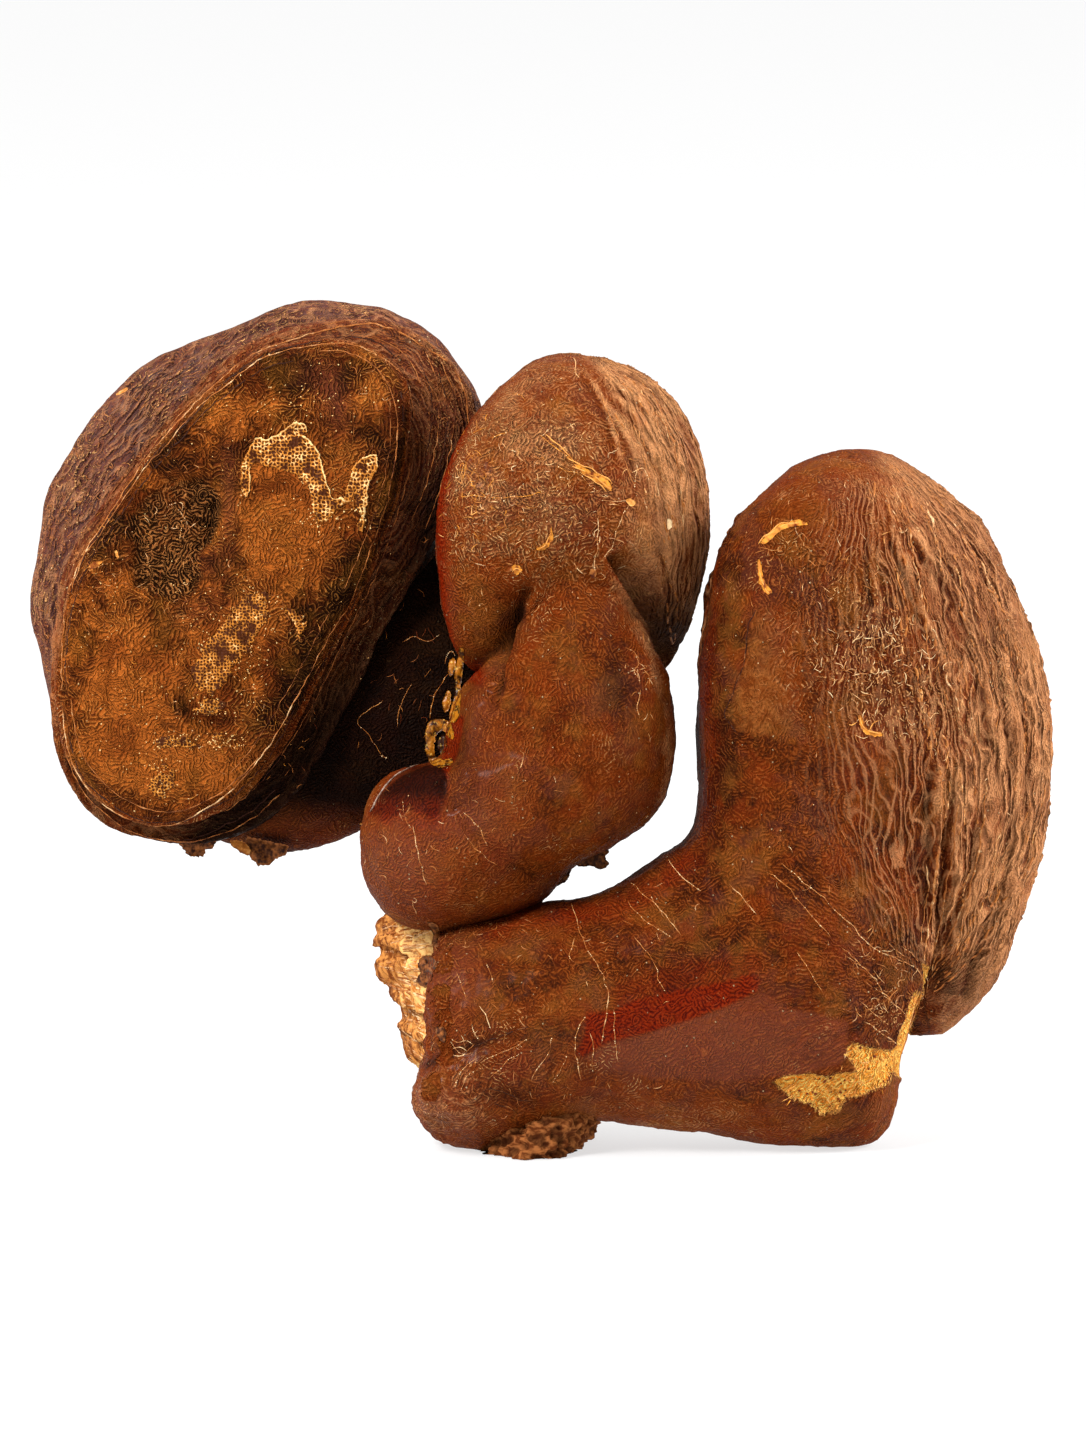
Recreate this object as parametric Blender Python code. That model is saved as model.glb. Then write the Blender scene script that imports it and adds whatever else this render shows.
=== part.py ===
"""Cluster of three dried reishi fruiting bodies on one torn-off common base.

The sections below are drawn on a square grid of 1/8 mm: x runs to the right,
y runs down the sheet, and d runs into the sheet, away from the front.  The
sheet is then leaned back by LEAN, the cluster is set down on its base at
Z = 0, and its bounding box is centred on the origin.

Each fruiting body is a stem that flares into a cap.  Both are lofted through
their cross-sections, melted into one solid, and parted again at the neck, so
that the cap and the stem are pieces of their own.  The base is the torn foot
that all three stems grow from, cut off flat where it stands.
"""

import math

import bmesh
import bpy
from mathutils import Matrix, Vector

# ---- driving dimensions ------------------------------------------------------
GRID = 0.000125  # metres per drawing unit
SHEET_X = 543.0  # drawing x that lies over the origin before centring
SHEET_Y = 1152.0  # drawing y of the ground line at d = GROUND_D
GROUND_D = -40.0  # depth at which the ground line is drawn
LEAN = math.radians(8.0)  # the drawing sheet leans back by this much
GAP = 0.0003  # clearance between neighbouring pieces
VOXEL = 0.0010  # melt size of the lofted lobes
SMOOTHING = 10  # passes that round the melted joints

RING = 40  # points around a lofted section
STEPS = 4  # rings between two drawn sections

# ---- drawn sections ----------------------------------------------------------
# Each row: x, y of one silhouette point, x, y of the other, depth of the middle,
# half-thickness to the front, half-thickness to the back.
RIGHT_STEM = [
    (427, 1062, 423, 1108, 0, 30, 40),
    (430, 1000, 426, 1128, 0, 62, 70),
    (437, 948, 438, 1140, 0, 84, 90),
    (458, 924, 465, 1147, 0, 96, 100),
    (500, 913, 500, 1147, -2, 104, 104),
    (545, 902, 550, 1134, -4, 106, 104),
    (600, 893, 600, 1120, -4, 103, 102),
    (632, 875, 655, 1127, -2, 103, 102),
    (662, 852, 705, 1133, 0, 105, 104),
    (690, 832, 770, 1143, 2, 110, 106),
    (698, 800, 828, 1148, 6, 114, 110),
    (697, 760, 876, 1140, 10, 116, 112),
    (697, 715, 895, 1108, 14, 118, 114),
    (697, 660, 902, 1062, 20, 120, 114),
    (702, 615, 915, 1015, 26, 120, 112),
    (712, 575, 924, 965, 32, 118, 108),
    (728, 545, 930, 905, 38, 115, 100),
    (755, 520, 935, 840, 44, 108, 92),
    (790, 510, 935, 770, 50, 92, 80),
    (825, 520, 925, 710, 56, 70, 62),
    (860, 560, 905, 660, 60, 40, 40),
]
MIDDLE_STEM = [
    (425, 930, 455, 930, 10, 15, 15),
    (395, 920, 500, 922, 8, 45, 45),
    (378, 905, 540, 903, 5, 70, 66),
    (365, 880, 572, 868, 0, 88, 80),
    (360, 852, 610, 848, -4, 98, 88),
    (362, 822, 645, 825, -8, 102, 92),
    (372, 792, 663, 802, -12, 104, 94),
    (395, 770, 671, 778, -14, 105, 94),
    (440, 757, 675, 755, -16, 104, 92),
    (447, 735, 676, 732, -18, 102, 90),
    (453, 710, 672, 705, -20, 100, 86),
    (462, 688, 665, 678, -20, 98, 82),
    (480, 668, 652, 650, -18, 95, 78),
    (500, 645, 638, 622, -14, 92, 74),
    (515, 615, 622, 592, -8, 86, 70),
    (528, 582, 610, 560, 0, 76, 62),
    (540, 545, 600, 530, 8, 60, 50),
    (555, 515, 588, 508, 12, 30, 30),
]
LEFT_STEM = [
    (512, 650, 512, 780, 102, 36, 36),
    (490, 590, 488, 815, 106, 62, 60),
    (462, 555, 462, 824, 108, 74, 66),
    (428, 540, 425, 828, 112, 80, 72),
    (395, 540, 374, 826, 116, 82, 76),
    (360, 540, 330, 842, 120, 82, 78),
    (320, 528, 290, 852, 122, 78, 78),
    (280, 510, 240, 846, 122, 70, 70),
    (240, 520, 200, 830, 118, 56, 60),
    (215, 560, 185, 780, 112, 30, 40),
]

# Each row: y, left x, right x, depth of the middle, front and back thickness,
# and the depth gained from the middle to the right end.
RIGHT_CAP = [
    (449, 846, 870, 40, 14, 14, 6),
    (453, 826, 888, 42, 36, 30, 14),
    (463, 798, 910, 45, 70, 50, 26),
    (478, 776, 936, 50, 98, 66, 38),
    (500, 754, 959, 55, 120, 78, 48),
    (525, 733, 988, 60, 132, 86, 56),
    (560, 716, 1007, 64, 142, 92, 64),
    (600, 709, 1027, 68, 148, 95, 70),
    (650, 702, 1044, 70, 150, 96, 76),
    (700, 698, 1056, 72, 150, 96, 79),
    (750, 699, 1058, 74, 148, 95, 79),
    (800, 705, 1056, 78, 145, 92, 76),
    (850, 730, 1049, 90, 138, 90, 68),
    (900, 765, 1033, 104, 122, 86, 56),
    (940, 800, 1021, 116, 100, 80, 44),
    (975, 835, 1005, 122, 84, 72, 34),
    (1005, 865, 979, 126, 64, 60, 22),
    (1025, 888, 961, 128, 46, 42, 14),
    (1037, 908, 945, 128, 20, 20, 6),
]
MIDDLE_CAP = [
    (356, 566, 586, 20, 10, 10, 4),
    (359, 546, 606, 20, 32, 28, 10),
    (367, 527, 627, 18, 62, 50, 18),
    (380, 509, 650, 16, 84, 66, 24),
    (400, 488, 671, 14, 100, 80, 32),
    (425, 468, 687, 12, 112, 88, 38),
    (455, 453, 699, 10, 120, 94, 43),
    (490, 441, 708, 10, 124, 96, 47),
    (525, 437, 710, 12, 122, 95, 48),
    (555, 437, 708, 16, 116, 92, 47),
    (585, 439, 702, 22, 106, 88, 46),
    (612, 443, 694, 30, 94, 82, 44),
    (637, 451, 684, 38, 80, 74, 41),
    (655, 460, 675, 46, 62, 62, 38),
    (668, 470, 667, 54, 42, 48, 34),
    (677, 482, 658, 60, 18, 26, 30),
]
BASE = [
    (760, 436, 500, 96, 30, 32, 0),
    (790, 412, 536, 92, 58, 62, 0),
    (830, 396, 534, 88, 72, 82, 0),
    (870, 389, 530, 86, 76, 88, 0),
    (915, 382, 546, 84, 78, 92, 0),
    (950, 376, 568, 82, 80, 96, 0),
    (985, 386, 582, 78, 84, 100, -6),
    (1020, 398, 590, 72, 90, 104, -14),
    (1055, 402, 598, 64, 96, 108, -22),
    (1078, 426, 600, 56, 102, 112, -30),
    (1100, 440, 600, 50, 106, 116, -36),
    (1130, 450, 598, 44, 108, 118, -40),
    (1160, 456, 592, 40, 108, 118, -42),
    (1184, 476, 574, 40, 84, 94, -30),
]

# The left cap is turned so that its pore face looks out to the front.  Its
# rings are outlines drawn in the sheet, stacked from the pore face to the back.
PORE_EDGE = [
    (65, 640), (72, 590), (85, 555), (104, 522), (140, 472), (180, 425),
    (215, 390), (250, 365), (290, 350), (335, 345), (375, 357), (400, 378),
    (408, 410), (405, 450), (395, 500), (375, 555), (345, 620), (310, 690),
    (285, 740), (250, 785), (210, 812), (170, 822), (130, 815), (95, 790),
    (72, 755), (62, 710), (61, 675),
]
SECOND_RIM = [
    (56, 640), (63, 590), (77, 550), (98, 515), (132, 466), (172, 418),
    (210, 378), (250, 350), (290, 333), (330, 325), (370, 325), (410, 335),
    (440, 355), (463, 385), (474, 420), (470, 460), (450, 510), (420, 560),
    (385, 622), (350, 690), (320, 750), (285, 798), (240, 828), (190, 840),
    (150, 837), (108, 820), (78, 790), (62, 750), (55, 700),
]
OUTER_RIM = [
    (457, 363), (436, 338), (414, 322), (386, 308), (358, 302), (330, 299),
    (299, 301), (270, 310), (240, 323), (198, 339), (155, 358), (119, 387),
    (90, 420), (67, 456), (48, 493), (40, 534), (33, 575), (29, 618),
    (38, 661), (46, 700), (58, 745), (70, 780), (95, 812), (136, 837),
    (190, 846), (240, 836), (285, 808), (318, 765), (345, 715), (372, 662),
    (400, 610), (430, 565), (455, 515), (474, 465), (483, 420), (474, 388),
]
CAP_CENTRE = (240, 582)
# ring outline, scale, depth of its centre, depth gained per unit to the right
# and per unit down the sheet
LEFT_CAP = [
    (PORE_EDGE, 0.02, -30, -0.10, 0.06),
    (PORE_EDGE, 0.35, -30, -0.10, 0.06),
    (PORE_EDGE, 0.70, -27, -0.10, 0.06),
    (PORE_EDGE, 0.90, -20, -0.10, 0.06),
    (PORE_EDGE, 0.98, -9, -0.10, 0.06),
    (PORE_EDGE, 1.01, 8, -0.09, 0.06),
    (SECOND_RIM, 0.99, 22, -0.07, 0.05),
    (SECOND_RIM, 1.01, 38, -0.05, 0.04),
    (OUTER_RIM, 0.985, 62, -0.03, 0.03),
    (OUTER_RIM, 1.00, 86, -0.02, 0.02),
    (OUTER_RIM, 0.975, 114, 0.0, 0.0),
    (OUTER_RIM, 0.88, 142, 0.0, 0.0),
    (OUTER_RIM, 0.70, 166, 0.0, 0.0),
    (OUTER_RIM, 0.42, 182, 0.0, 0.0),
    (OUTER_RIM, 0.03, 188, 0.0, 0.0),
]

# (a point on the sheet, another one) through which each neck is parted
RIGHT_NECK = ((697, 648), (912, 1040))
MIDDLE_NECK = ((430, 690), (700, 672))


# ---- shapes ------------------------------------------------------------------
def world(x, y, d):
    """A drawing point in metres, with the sheet leaned back and set on Z = 0."""
    up = (SHEET_Y - y) * GRID
    back = (d - GROUND_D) * GRID
    return Vector(
        (
            (x - SHEET_X) * GRID,
            up * math.sin(LEAN) + back * math.cos(LEAN),
            up * math.cos(LEAN) - back * math.sin(LEAN),
        )
    )


def spline(rows, steps):
    """Rows between the drawn ones, on a curve that passes through each."""
    out = []
    last = len(rows) - 1
    for i in range(last):
        a, b, c, e = rows[max(i - 1, 0)], rows[i], rows[i + 1], rows[min(i + 2, last)]
        for k in range(steps):
            t = k / steps
            out.append(
                tuple(
                    0.5
                    * (
                        2 * q
                        + (r - p) * t
                        + (2 * p - 5 * q + 4 * r - s) * t * t
                        + (3 * q - p - 3 * r + s) * t**3
                    )
                    for p, q, r, s in zip(a, b, c, e)
                )
            )
    out.append(tuple(rows[-1]))
    return out


def section(row):
    """The ring of points of one section row of eight numbers."""
    x0, y0, x1, y1, depth, front, back, gain = row
    ring = []
    for k in range(RING):
        a = 2 * math.pi * k / RING
        along, across = math.cos(a), math.sin(a)
        half = front if across > 0 else back
        ring.append(
            world(
                (x0 + x1) / 2 + along * (x1 - x0) / 2,
                (y0 + y1) / 2 + along * (y1 - y0) / 2,
                depth + gain * along - half * across,
            )
        )
    return ring


def radius_at(outline, angle):
    """How far the closed outline lies from CAP_CENTRE at this angle."""
    points = []
    for x, y in outline:
        dx, dy = x - CAP_CENTRE[0], CAP_CENTRE[1] - y
        points.append((math.atan2(dy, dx) % (2 * math.pi), math.hypot(dx, dy)))
    points.sort()
    turns = (
        [(points[-1][0] - 2 * math.pi, points[-1][1])]
        + points
        + [(points[0][0] + 2 * math.pi, points[0][1])]
    )
    for (a0, r0), (a1, r1) in zip(turns, turns[1:]):
        if a0 <= angle <= a1:
            t = (angle - a0) / (a1 - a0)
            return r0 + (r1 - r0) * t
    return points[0][1]


def outline_ring(row):
    """The ring of points of one row of the left cap."""
    outline, scale, depth, right, down = row
    ring = []
    for k in range(RING * 2):
        a = 2 * math.pi * k / (RING * 2)
        r = scale * radius_at(outline, a)
        x, y = r * math.cos(a), -r * math.sin(a)
        ring.append((CAP_CENTRE[0] + x, CAP_CENTRE[1] + y, depth + right * x + down * y))
    return ring


def loft(rings):
    """A closed mesh through the rings, with a fan at either end."""
    bm = bmesh.new()
    loops = [[bm.verts.new(p) for p in ring] for ring in rings]
    for a, b in zip(loops, loops[1:]):
        n = len(a)
        for k in range(n):
            bm.faces.new((a[k], a[(k + 1) % n], b[(k + 1) % n], b[k]))
    for loop in (loops[0], loops[-1]):
        middle = bm.verts.new(sum((v.co for v in loop), Vector()) / len(loop))
        n = len(loop)
        for k in range(n):
            bm.faces.new((loop[k], loop[(k + 1) % n], middle))
    bmesh.ops.recalc_face_normals(bm, faces=bm.faces)
    return bm


def stem_loft(rows):
    return loft([section(r) for r in spline([(*r, 0) for r in rows], STEPS)])


def level_loft(rows):
    drawn = [(x0, y, x1, y, d, f, b, g) for y, x0, x1, d, f, b, g in rows]
    return loft([section(r) for r in spline(drawn, STEPS)])


def ring_loft(rows):
    flat = [[c for p in outline_ring(r) for c in p] for r in rows]
    rings = []
    for row in spline(flat, 3):
        rings.append([world(*row[i : i + 3]) for i in range(0, len(row), 3)])
    return loft(rings)


# ---- objects -----------------------------------------------------------------
def material(name, colour, rough):
    made = bpy.data.materials.new(name)
    made.use_nodes = True
    shader = made.node_tree.nodes["Principled BSDF"]
    shader.inputs["Base Color"].default_value = (*colour, 1.0)
    shader.inputs["Roughness"].default_value = rough
    shader.inputs["Metallic"].default_value = 0.0
    return made


def solid(name, lofts, skin, keep):
    """One object of overlapping lofts, melted together and thinned out."""
    mesh = bpy.data.meshes.new(name)
    whole = bmesh.new()
    for part in lofts:
        part.to_mesh(mesh)
        part.free()
        whole.from_mesh(mesh)
    whole.to_mesh(mesh)
    whole.free()
    mesh.materials.append(skin)
    made = bpy.data.objects.new(name, mesh)
    bpy.context.scene.collection.objects.link(made)
    melt = made.modifiers.new("melt", "REMESH")
    melt.mode = "VOXEL"
    melt.voxel_size = VOXEL
    melt.use_smooth_shade = True
    soften = made.modifiers.new("soften", "SMOOTH")
    soften.factor = 0.5
    soften.iterations = SMOOTHING
    thin = made.modifiers.new("thin", "DECIMATE")
    thin.ratio = keep
    return made


def frozen(source, name):
    """A copy of an object with its modifiers applied."""
    graph = bpy.context.evaluated_depsgraph_get()
    mesh = bpy.data.meshes.new_from_object(source.evaluated_get(graph))
    mesh.name = name
    made = bpy.data.objects.new(name, mesh)
    bpy.context.scene.collection.objects.link(made)
    return made


def helper(made):
    made.hide_render = True
    made.display_type = "WIRE"
    return made


def grown(source):
    """A cutter: the object swollen by the clearance."""
    made = frozen(source, source.name + "_room")
    swell = made.modifiers.new("swell", "DISPLACE")
    swell.strength = GAP
    swell.mid_level = 0.0
    return helper(made)


def half_space(name, first, second, above):
    """A cutter: a block that fills the sheet above or below a line on it."""
    a, b = Vector(first), Vector(second)
    along = (b - a).normalized()
    out = Vector((along.y, -along.x))  # towards smaller y on the sheet: up
    if not above:
        out = -out
    a = a + out * (GAP / GRID / 2)
    b = b + out * (GAP / GRID / 2)
    corners = [a - along * 900, b + along * 900]
    corners += [corners[1] + out * 1500, corners[0] + out * 1500]
    bm = bmesh.new()
    front = [bm.verts.new(world(p.x, p.y, -600)) for p in corners]
    bm.faces.new(front)
    grown_ = bmesh.ops.extrude_face_region(bm, geom=bm.faces[:])
    shift = world(0, 0, 900) - world(0, 0, -600)
    moved = [v for v in grown_["geom"] if isinstance(v, bmesh.types.BMVert)]
    bmesh.ops.translate(bm, verts=moved, vec=shift)
    bmesh.ops.recalc_face_normals(bm, faces=bm.faces)
    mesh = bpy.data.meshes.new(name)
    bm.to_mesh(mesh)
    bm.free()
    made = bpy.data.objects.new(name, mesh)
    bpy.context.scene.collection.objects.link(made)
    return helper(made)


def ground_block():
    """A cutter: everything under the ground."""
    bm = bmesh.new()
    bmesh.ops.create_cube(bm, size=1.0)
    bmesh.ops.scale(bm, verts=bm.verts, vec=(0.6, 0.6, 0.1))
    bmesh.ops.translate(bm, verts=bm.verts, vec=(0, 0, -0.05))
    mesh = bpy.data.meshes.new("ground")
    bm.to_mesh(mesh)
    bm.free()
    made = bpy.data.objects.new("ground", mesh)
    bpy.context.scene.collection.objects.link(made)
    return helper(made)


def cut(target, cutter, operation="DIFFERENCE"):
    step = target.modifiers.new(cutter.name, "BOOLEAN")
    step.operation = operation
    step.object = cutter
    step.solver = "EXACT"


def main():
    for old in list(bpy.data.objects):
        bpy.data.objects.remove(old)

    crust = material("crust", (0.16, 0.055, 0.022), 0.45)
    pores = material("pore_cap", (0.19, 0.085, 0.028), 0.7)
    flesh = material("torn_flesh", (0.55, 0.31, 0.13), 0.8)

    ground = ground_block()

    # right fruiting body
    right = solid(
        "right_body", [stem_loft(RIGHT_STEM), level_loft(RIGHT_CAP)], crust, 0.076
    )
    cut(right, ground)
    right_room = grown(right)
    right_cap = frozen(right, "right_cap")
    cut(right_cap, half_space("above_right_neck", *RIGHT_NECK, True), "INTERSECT")
    right_stem = frozen(right, "right_stem")
    cut(right_stem, half_space("below_right_neck", *RIGHT_NECK, False), "INTERSECT")
    helper(right)

    # middle fruiting body, which stands on the right stem's root
    middle = solid(
        "middle_body", [stem_loft(MIDDLE_STEM), level_loft(MIDDLE_CAP)], crust, 0.076
    )
    cut(middle, right_room)
    middle_room = grown(middle)
    middle_cap = frozen(middle, "middle_cap")
    cut(middle_cap, half_space("above_middle_neck", *MIDDLE_NECK, True), "INTERSECT")
    middle_stem = frozen(middle, "middle_stem")
    cut(middle_stem, half_space("below_middle_neck", *MIDDLE_NECK, False), "INTERSECT")
    helper(middle)

    # left fruiting body, whose stem reaches round behind the middle one
    left_cap = solid("left_cap", [ring_loft(LEFT_CAP)], pores, 0.075)
    cut(left_cap, middle_room)
    cap_room = grown(left_cap)
    left_stem = solid("left_stem", [stem_loft(LEFT_STEM)], crust, 0.09)
    for room in (cap_room, middle_room, right_room):
        cut(left_stem, room)
    stem_room = grown(left_stem)

    # the torn common base
    base = solid("base", [level_loft(BASE)], flesh, 0.085)
    for room in (ground, right_room, middle_room, stem_room, cap_room):
        cut(base, room)

    # centre the whole on the origin
    nodes = [right_cap, right_stem, middle_cap, middle_stem, left_cap, left_stem, base]
    bpy.context.view_layer.update()
    graph = bpy.context.evaluated_depsgraph_get()
    points = []
    for node in nodes:
        seen = node.evaluated_get(graph)
        points += [seen.matrix_world @ v.co for v in seen.data.vertices]
    low = Vector([min(p[k] for p in points) for k in range(3)])
    high = Vector([max(p[k] for p in points) for k in range(3)])
    shift = Vector((-(low.x + high.x) / 2, -(low.y + high.y) / 2, -low.z))
    stand = bpy.data.objects.new("stand", None)
    bpy.context.scene.collection.objects.link(stand)
    for made in list(bpy.data.objects):
        if made.type == "MESH":
            made.parent = stand
    stand.location = shift
    bpy.context.view_layer.update()


main()
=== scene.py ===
"""Looks of a dried reishi cluster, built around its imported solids.

Shapes are drawn on the same sheet as the solids: x to the right, y down and d
away from the front, in units of 1/8 mm.  Each fruiting body is lofted, melted
into one skin, sculpted with noise and strokes, and set in the model's frame.
"""

import math

import bpy
import numpy as np
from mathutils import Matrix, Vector
from mathutils.bvhtree import BVHTree
from mathutils.geometry import delaunay_2d_cdt


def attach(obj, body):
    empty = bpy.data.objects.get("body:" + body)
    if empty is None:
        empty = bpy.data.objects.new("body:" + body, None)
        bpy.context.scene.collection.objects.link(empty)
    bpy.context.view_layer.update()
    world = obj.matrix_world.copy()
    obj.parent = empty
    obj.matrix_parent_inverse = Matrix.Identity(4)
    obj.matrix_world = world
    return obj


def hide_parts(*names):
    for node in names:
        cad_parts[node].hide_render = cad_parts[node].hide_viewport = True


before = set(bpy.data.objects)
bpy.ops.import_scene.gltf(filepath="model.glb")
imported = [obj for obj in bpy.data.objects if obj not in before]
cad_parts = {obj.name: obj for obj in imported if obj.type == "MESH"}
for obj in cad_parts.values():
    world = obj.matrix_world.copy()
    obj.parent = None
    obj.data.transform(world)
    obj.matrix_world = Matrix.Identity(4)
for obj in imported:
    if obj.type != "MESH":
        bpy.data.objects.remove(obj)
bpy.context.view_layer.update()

# ---- the sheet ---------------------------------------------------------------
GRID = 0.000125
SHEET_X, SHEET_Y, GROUND_D = 543.0, 1152.0, -40.0
LEAN = math.radians(8.0)
SHIFT = np.array([-0.0000824, -0.0165378, 0.0])
SIN, COS = math.sin(LEAN), math.cos(LEAN)


def to_world(p):
    up = (SHEET_Y - p[:, 1]) * GRID
    back = (p[:, 2] - GROUND_D) * GRID
    out = np.empty_like(p)
    out[:, 0] = (p[:, 0] - SHEET_X) * GRID
    out[:, 1] = up * SIN + back * COS
    out[:, 2] = up * COS - back * SIN
    return out + SHIFT


RIGHT_STEM = [
    (427, 1062, 423, 1108, 0, 30, 40), (430, 1000, 426, 1128, 0, 62, 70),
    (437, 948, 438, 1140, 0, 84, 90), (458, 924, 465, 1147, 0, 96, 100),
    (500, 913, 500, 1147, -2, 104, 104), (545, 902, 550, 1134, -4, 106, 104),
    (600, 893, 600, 1120, -4, 103, 102), (632, 875, 655, 1127, -2, 103, 102),
    (662, 852, 705, 1133, 0, 105, 104), (690, 832, 770, 1143, 2, 110, 106),
    (698, 800, 828, 1148, 6, 114, 110), (697, 760, 876, 1140, 10, 116, 112),
    (697, 715, 895, 1108, 14, 118, 114), (697, 660, 902, 1062, 20, 120, 114),
    (702, 615, 915, 1015, 26, 120, 112), (712, 575, 924, 965, 32, 118, 108),
    (728, 545, 930, 905, 38, 115, 100), (755, 520, 935, 840, 44, 108, 92),
    (790, 510, 935, 770, 50, 92, 80), (825, 520, 925, 710, 56, 70, 62),
    (860, 560, 905, 660, 60, 40, 40),
]
MIDDLE_STEM = [
    (425, 930, 455, 930, 10, 15, 15), (395, 920, 500, 922, 8, 45, 45),
    (378, 905, 540, 903, 5, 70, 66), (365, 880, 572, 868, 0, 88, 80),
    (360, 852, 610, 848, -4, 98, 88), (362, 822, 645, 825, -8, 102, 92),
    (372, 792, 663, 802, -12, 104, 94), (395, 770, 671, 778, -14, 105, 94),
    (440, 757, 675, 755, -16, 104, 92), (447, 735, 676, 732, -18, 102, 90),
    (453, 710, 672, 705, -20, 100, 86), (462, 688, 665, 678, -20, 98, 82),
    (480, 668, 652, 650, -18, 95, 78), (500, 645, 638, 622, -14, 92, 74),
    (515, 615, 622, 592, -8, 86, 70), (528, 582, 610, 560, 0, 76, 62),
    (540, 545, 600, 530, 8, 60, 50), (555, 515, 588, 508, 12, 30, 30),
]
LEFT_STEM = [
    (512, 650, 512, 780, 102, 36, 36), (490, 590, 488, 815, 106, 62, 60),
    (462, 555, 462, 824, 108, 74, 66), (428, 540, 425, 828, 112, 80, 72),
    (395, 540, 374, 826, 116, 82, 76), (360, 540, 330, 842, 120, 82, 78),
    (320, 528, 290, 852, 122, 78, 78), (280, 510, 240, 846, 122, 70, 70),
    (240, 520, 200, 830, 118, 56, 60), (215, 560, 185, 780, 112, 30, 40),
]
RIGHT_CAP = [
    (449, 846, 870, 40, 14, 14, 6), (453, 826, 888, 42, 36, 30, 14),
    (463, 798, 910, 45, 70, 50, 26), (478, 776, 936, 50, 98, 66, 38),
    (500, 754, 960, 55, 120, 78, 48), (525, 733, 987, 60, 132, 86, 56),
    (560, 716, 1005, 64, 142, 92, 64), (600, 709, 1025, 68, 148, 95, 70),
    (650, 702, 1042, 70, 150, 96, 76), (700, 698, 1054, 72, 150, 96, 79),
    (750, 699, 1056, 74, 148, 95, 79), (800, 705, 1054, 78, 145, 92, 76),
    (850, 730, 1046, 90, 138, 90, 68), (900, 765, 1031, 104, 122, 86, 56),
    (940, 800, 1019, 116, 100, 80, 44), (975, 835, 1004, 122, 84, 72, 34),
    (1005, 865, 983, 126, 64, 60, 22), (1025, 888, 962, 128, 46, 42, 14),
    (1037, 908, 946, 128, 20, 20, 6),
]
MIDDLE_CAP = [
    (356, 566, 586, 20, 10, 10, 4), (359, 546, 606, 20, 32, 28, 10),
    (367, 527, 627, 18, 62, 50, 18), (380, 509, 650, 16, 84, 66, 24),
    (400, 488, 671, 14, 100, 80, 32), (425, 468, 687, 12, 112, 88, 38),
    (455, 453, 699, 10, 120, 94, 43), (490, 441, 708, 10, 124, 96, 47),
    (525, 437, 710, 12, 122, 95, 48), (555, 437, 708, 16, 116, 92, 47),
    (585, 439, 702, 22, 106, 88, 46), (612, 443, 694, 30, 94, 82, 44),
    (637, 451, 684, 38, 80, 74, 41), (655, 460, 675, 46, 62, 62, 38),
    (668, 470, 667, 54, 42, 48, 34), (677, 482, 658, 60, 18, 26, 30),
]
# the base, with the ragged outline of its torn left side
BASE = [
    (760, 436, 500, 96, 30, 32, 0), (790, 412, 536, 92, 58, 62, 0),
    (830, 396, 534, 88, 72, 82, 0), (870, 389, 530, 86, 76, 88, 0),
    (905, 386, 540, 84, 78, 92, 0), (918, 384, 546, 84, 78, 92, 0),
    (924, 375, 550, 84, 79, 92, 0), (934, 378, 556, 83, 79, 94, 0),
    (946, 374, 566, 82, 80, 95, 0), (954, 380, 570, 82, 80, 96, 0),
    (964, 374, 574, 80, 82, 98, -2), (976, 379, 580, 79, 83, 99, -4),
    (986, 388, 582, 78, 84, 100, -6), (996, 390, 584, 76, 86, 101, -8),
    (1006, 398, 586, 74, 88, 102, -10), (1020, 402, 590, 72, 90, 104, -14),
    (1031, 397, 594, 69, 93, 106, -17), (1044, 401, 596, 66, 95, 107, -20),
    (1056, 405, 598, 64, 96, 108, -22), (1066, 416, 599, 60, 99, 110, -26),
    (1078, 430, 600, 56, 102, 112, -30), (1100, 440, 600, 50, 106, 116, -36),
    (1122, 448, 598, 46, 108, 118, -40), (1134, 450, 588, 44, 109, 118, -41),
    (1146, 454, 578, 42, 109, 118, -42), (1158, 456, 574, 40, 106, 118, -42),
    (1184, 476, 566, 40, 84, 94, -30),
]
PORE_EDGE = [
    (65, 640), (72, 590), (85, 555), (104, 522), (140, 472), (180, 425),
    (215, 390), (250, 365), (290, 350), (335, 345), (375, 357), (400, 378),
    (408, 410), (405, 450), (395, 500), (375, 555), (345, 620), (310, 690),
    (285, 740), (250, 785), (210, 812), (170, 822), (130, 815), (95, 790),
    (72, 755), (62, 710), (61, 675),
]
SECOND_RIM = [
    (56, 640), (63, 590), (77, 550), (98, 515), (132, 466), (172, 418),
    (210, 378), (250, 350), (290, 333), (330, 325), (370, 325), (410, 335),
    (440, 355), (463, 385), (474, 420), (470, 460), (450, 510), (420, 560),
    (385, 622), (350, 690), (320, 750), (285, 798), (240, 828), (190, 840),
    (150, 837), (108, 820), (78, 790), (62, 750), (55, 700),
]
OUTER_RIM = [
    (457, 363), (436, 338), (414, 322), (386, 308), (358, 302), (330, 299),
    (299, 301), (270, 310), (240, 323), (198, 339), (155, 358), (119, 387),
    (90, 420), (67, 456), (48, 493), (40, 534), (33, 575), (29, 618),
    (38, 661), (46, 700), (58, 745), (70, 780), (95, 812), (136, 837),
    (190, 846), (240, 836), (285, 808), (318, 765), (345, 715), (372, 662),
    (400, 610), (430, 565), (455, 515), (474, 465), (483, 420), (474, 388),
]
CAP_CENTRE = (240.0, 582.0)
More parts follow.
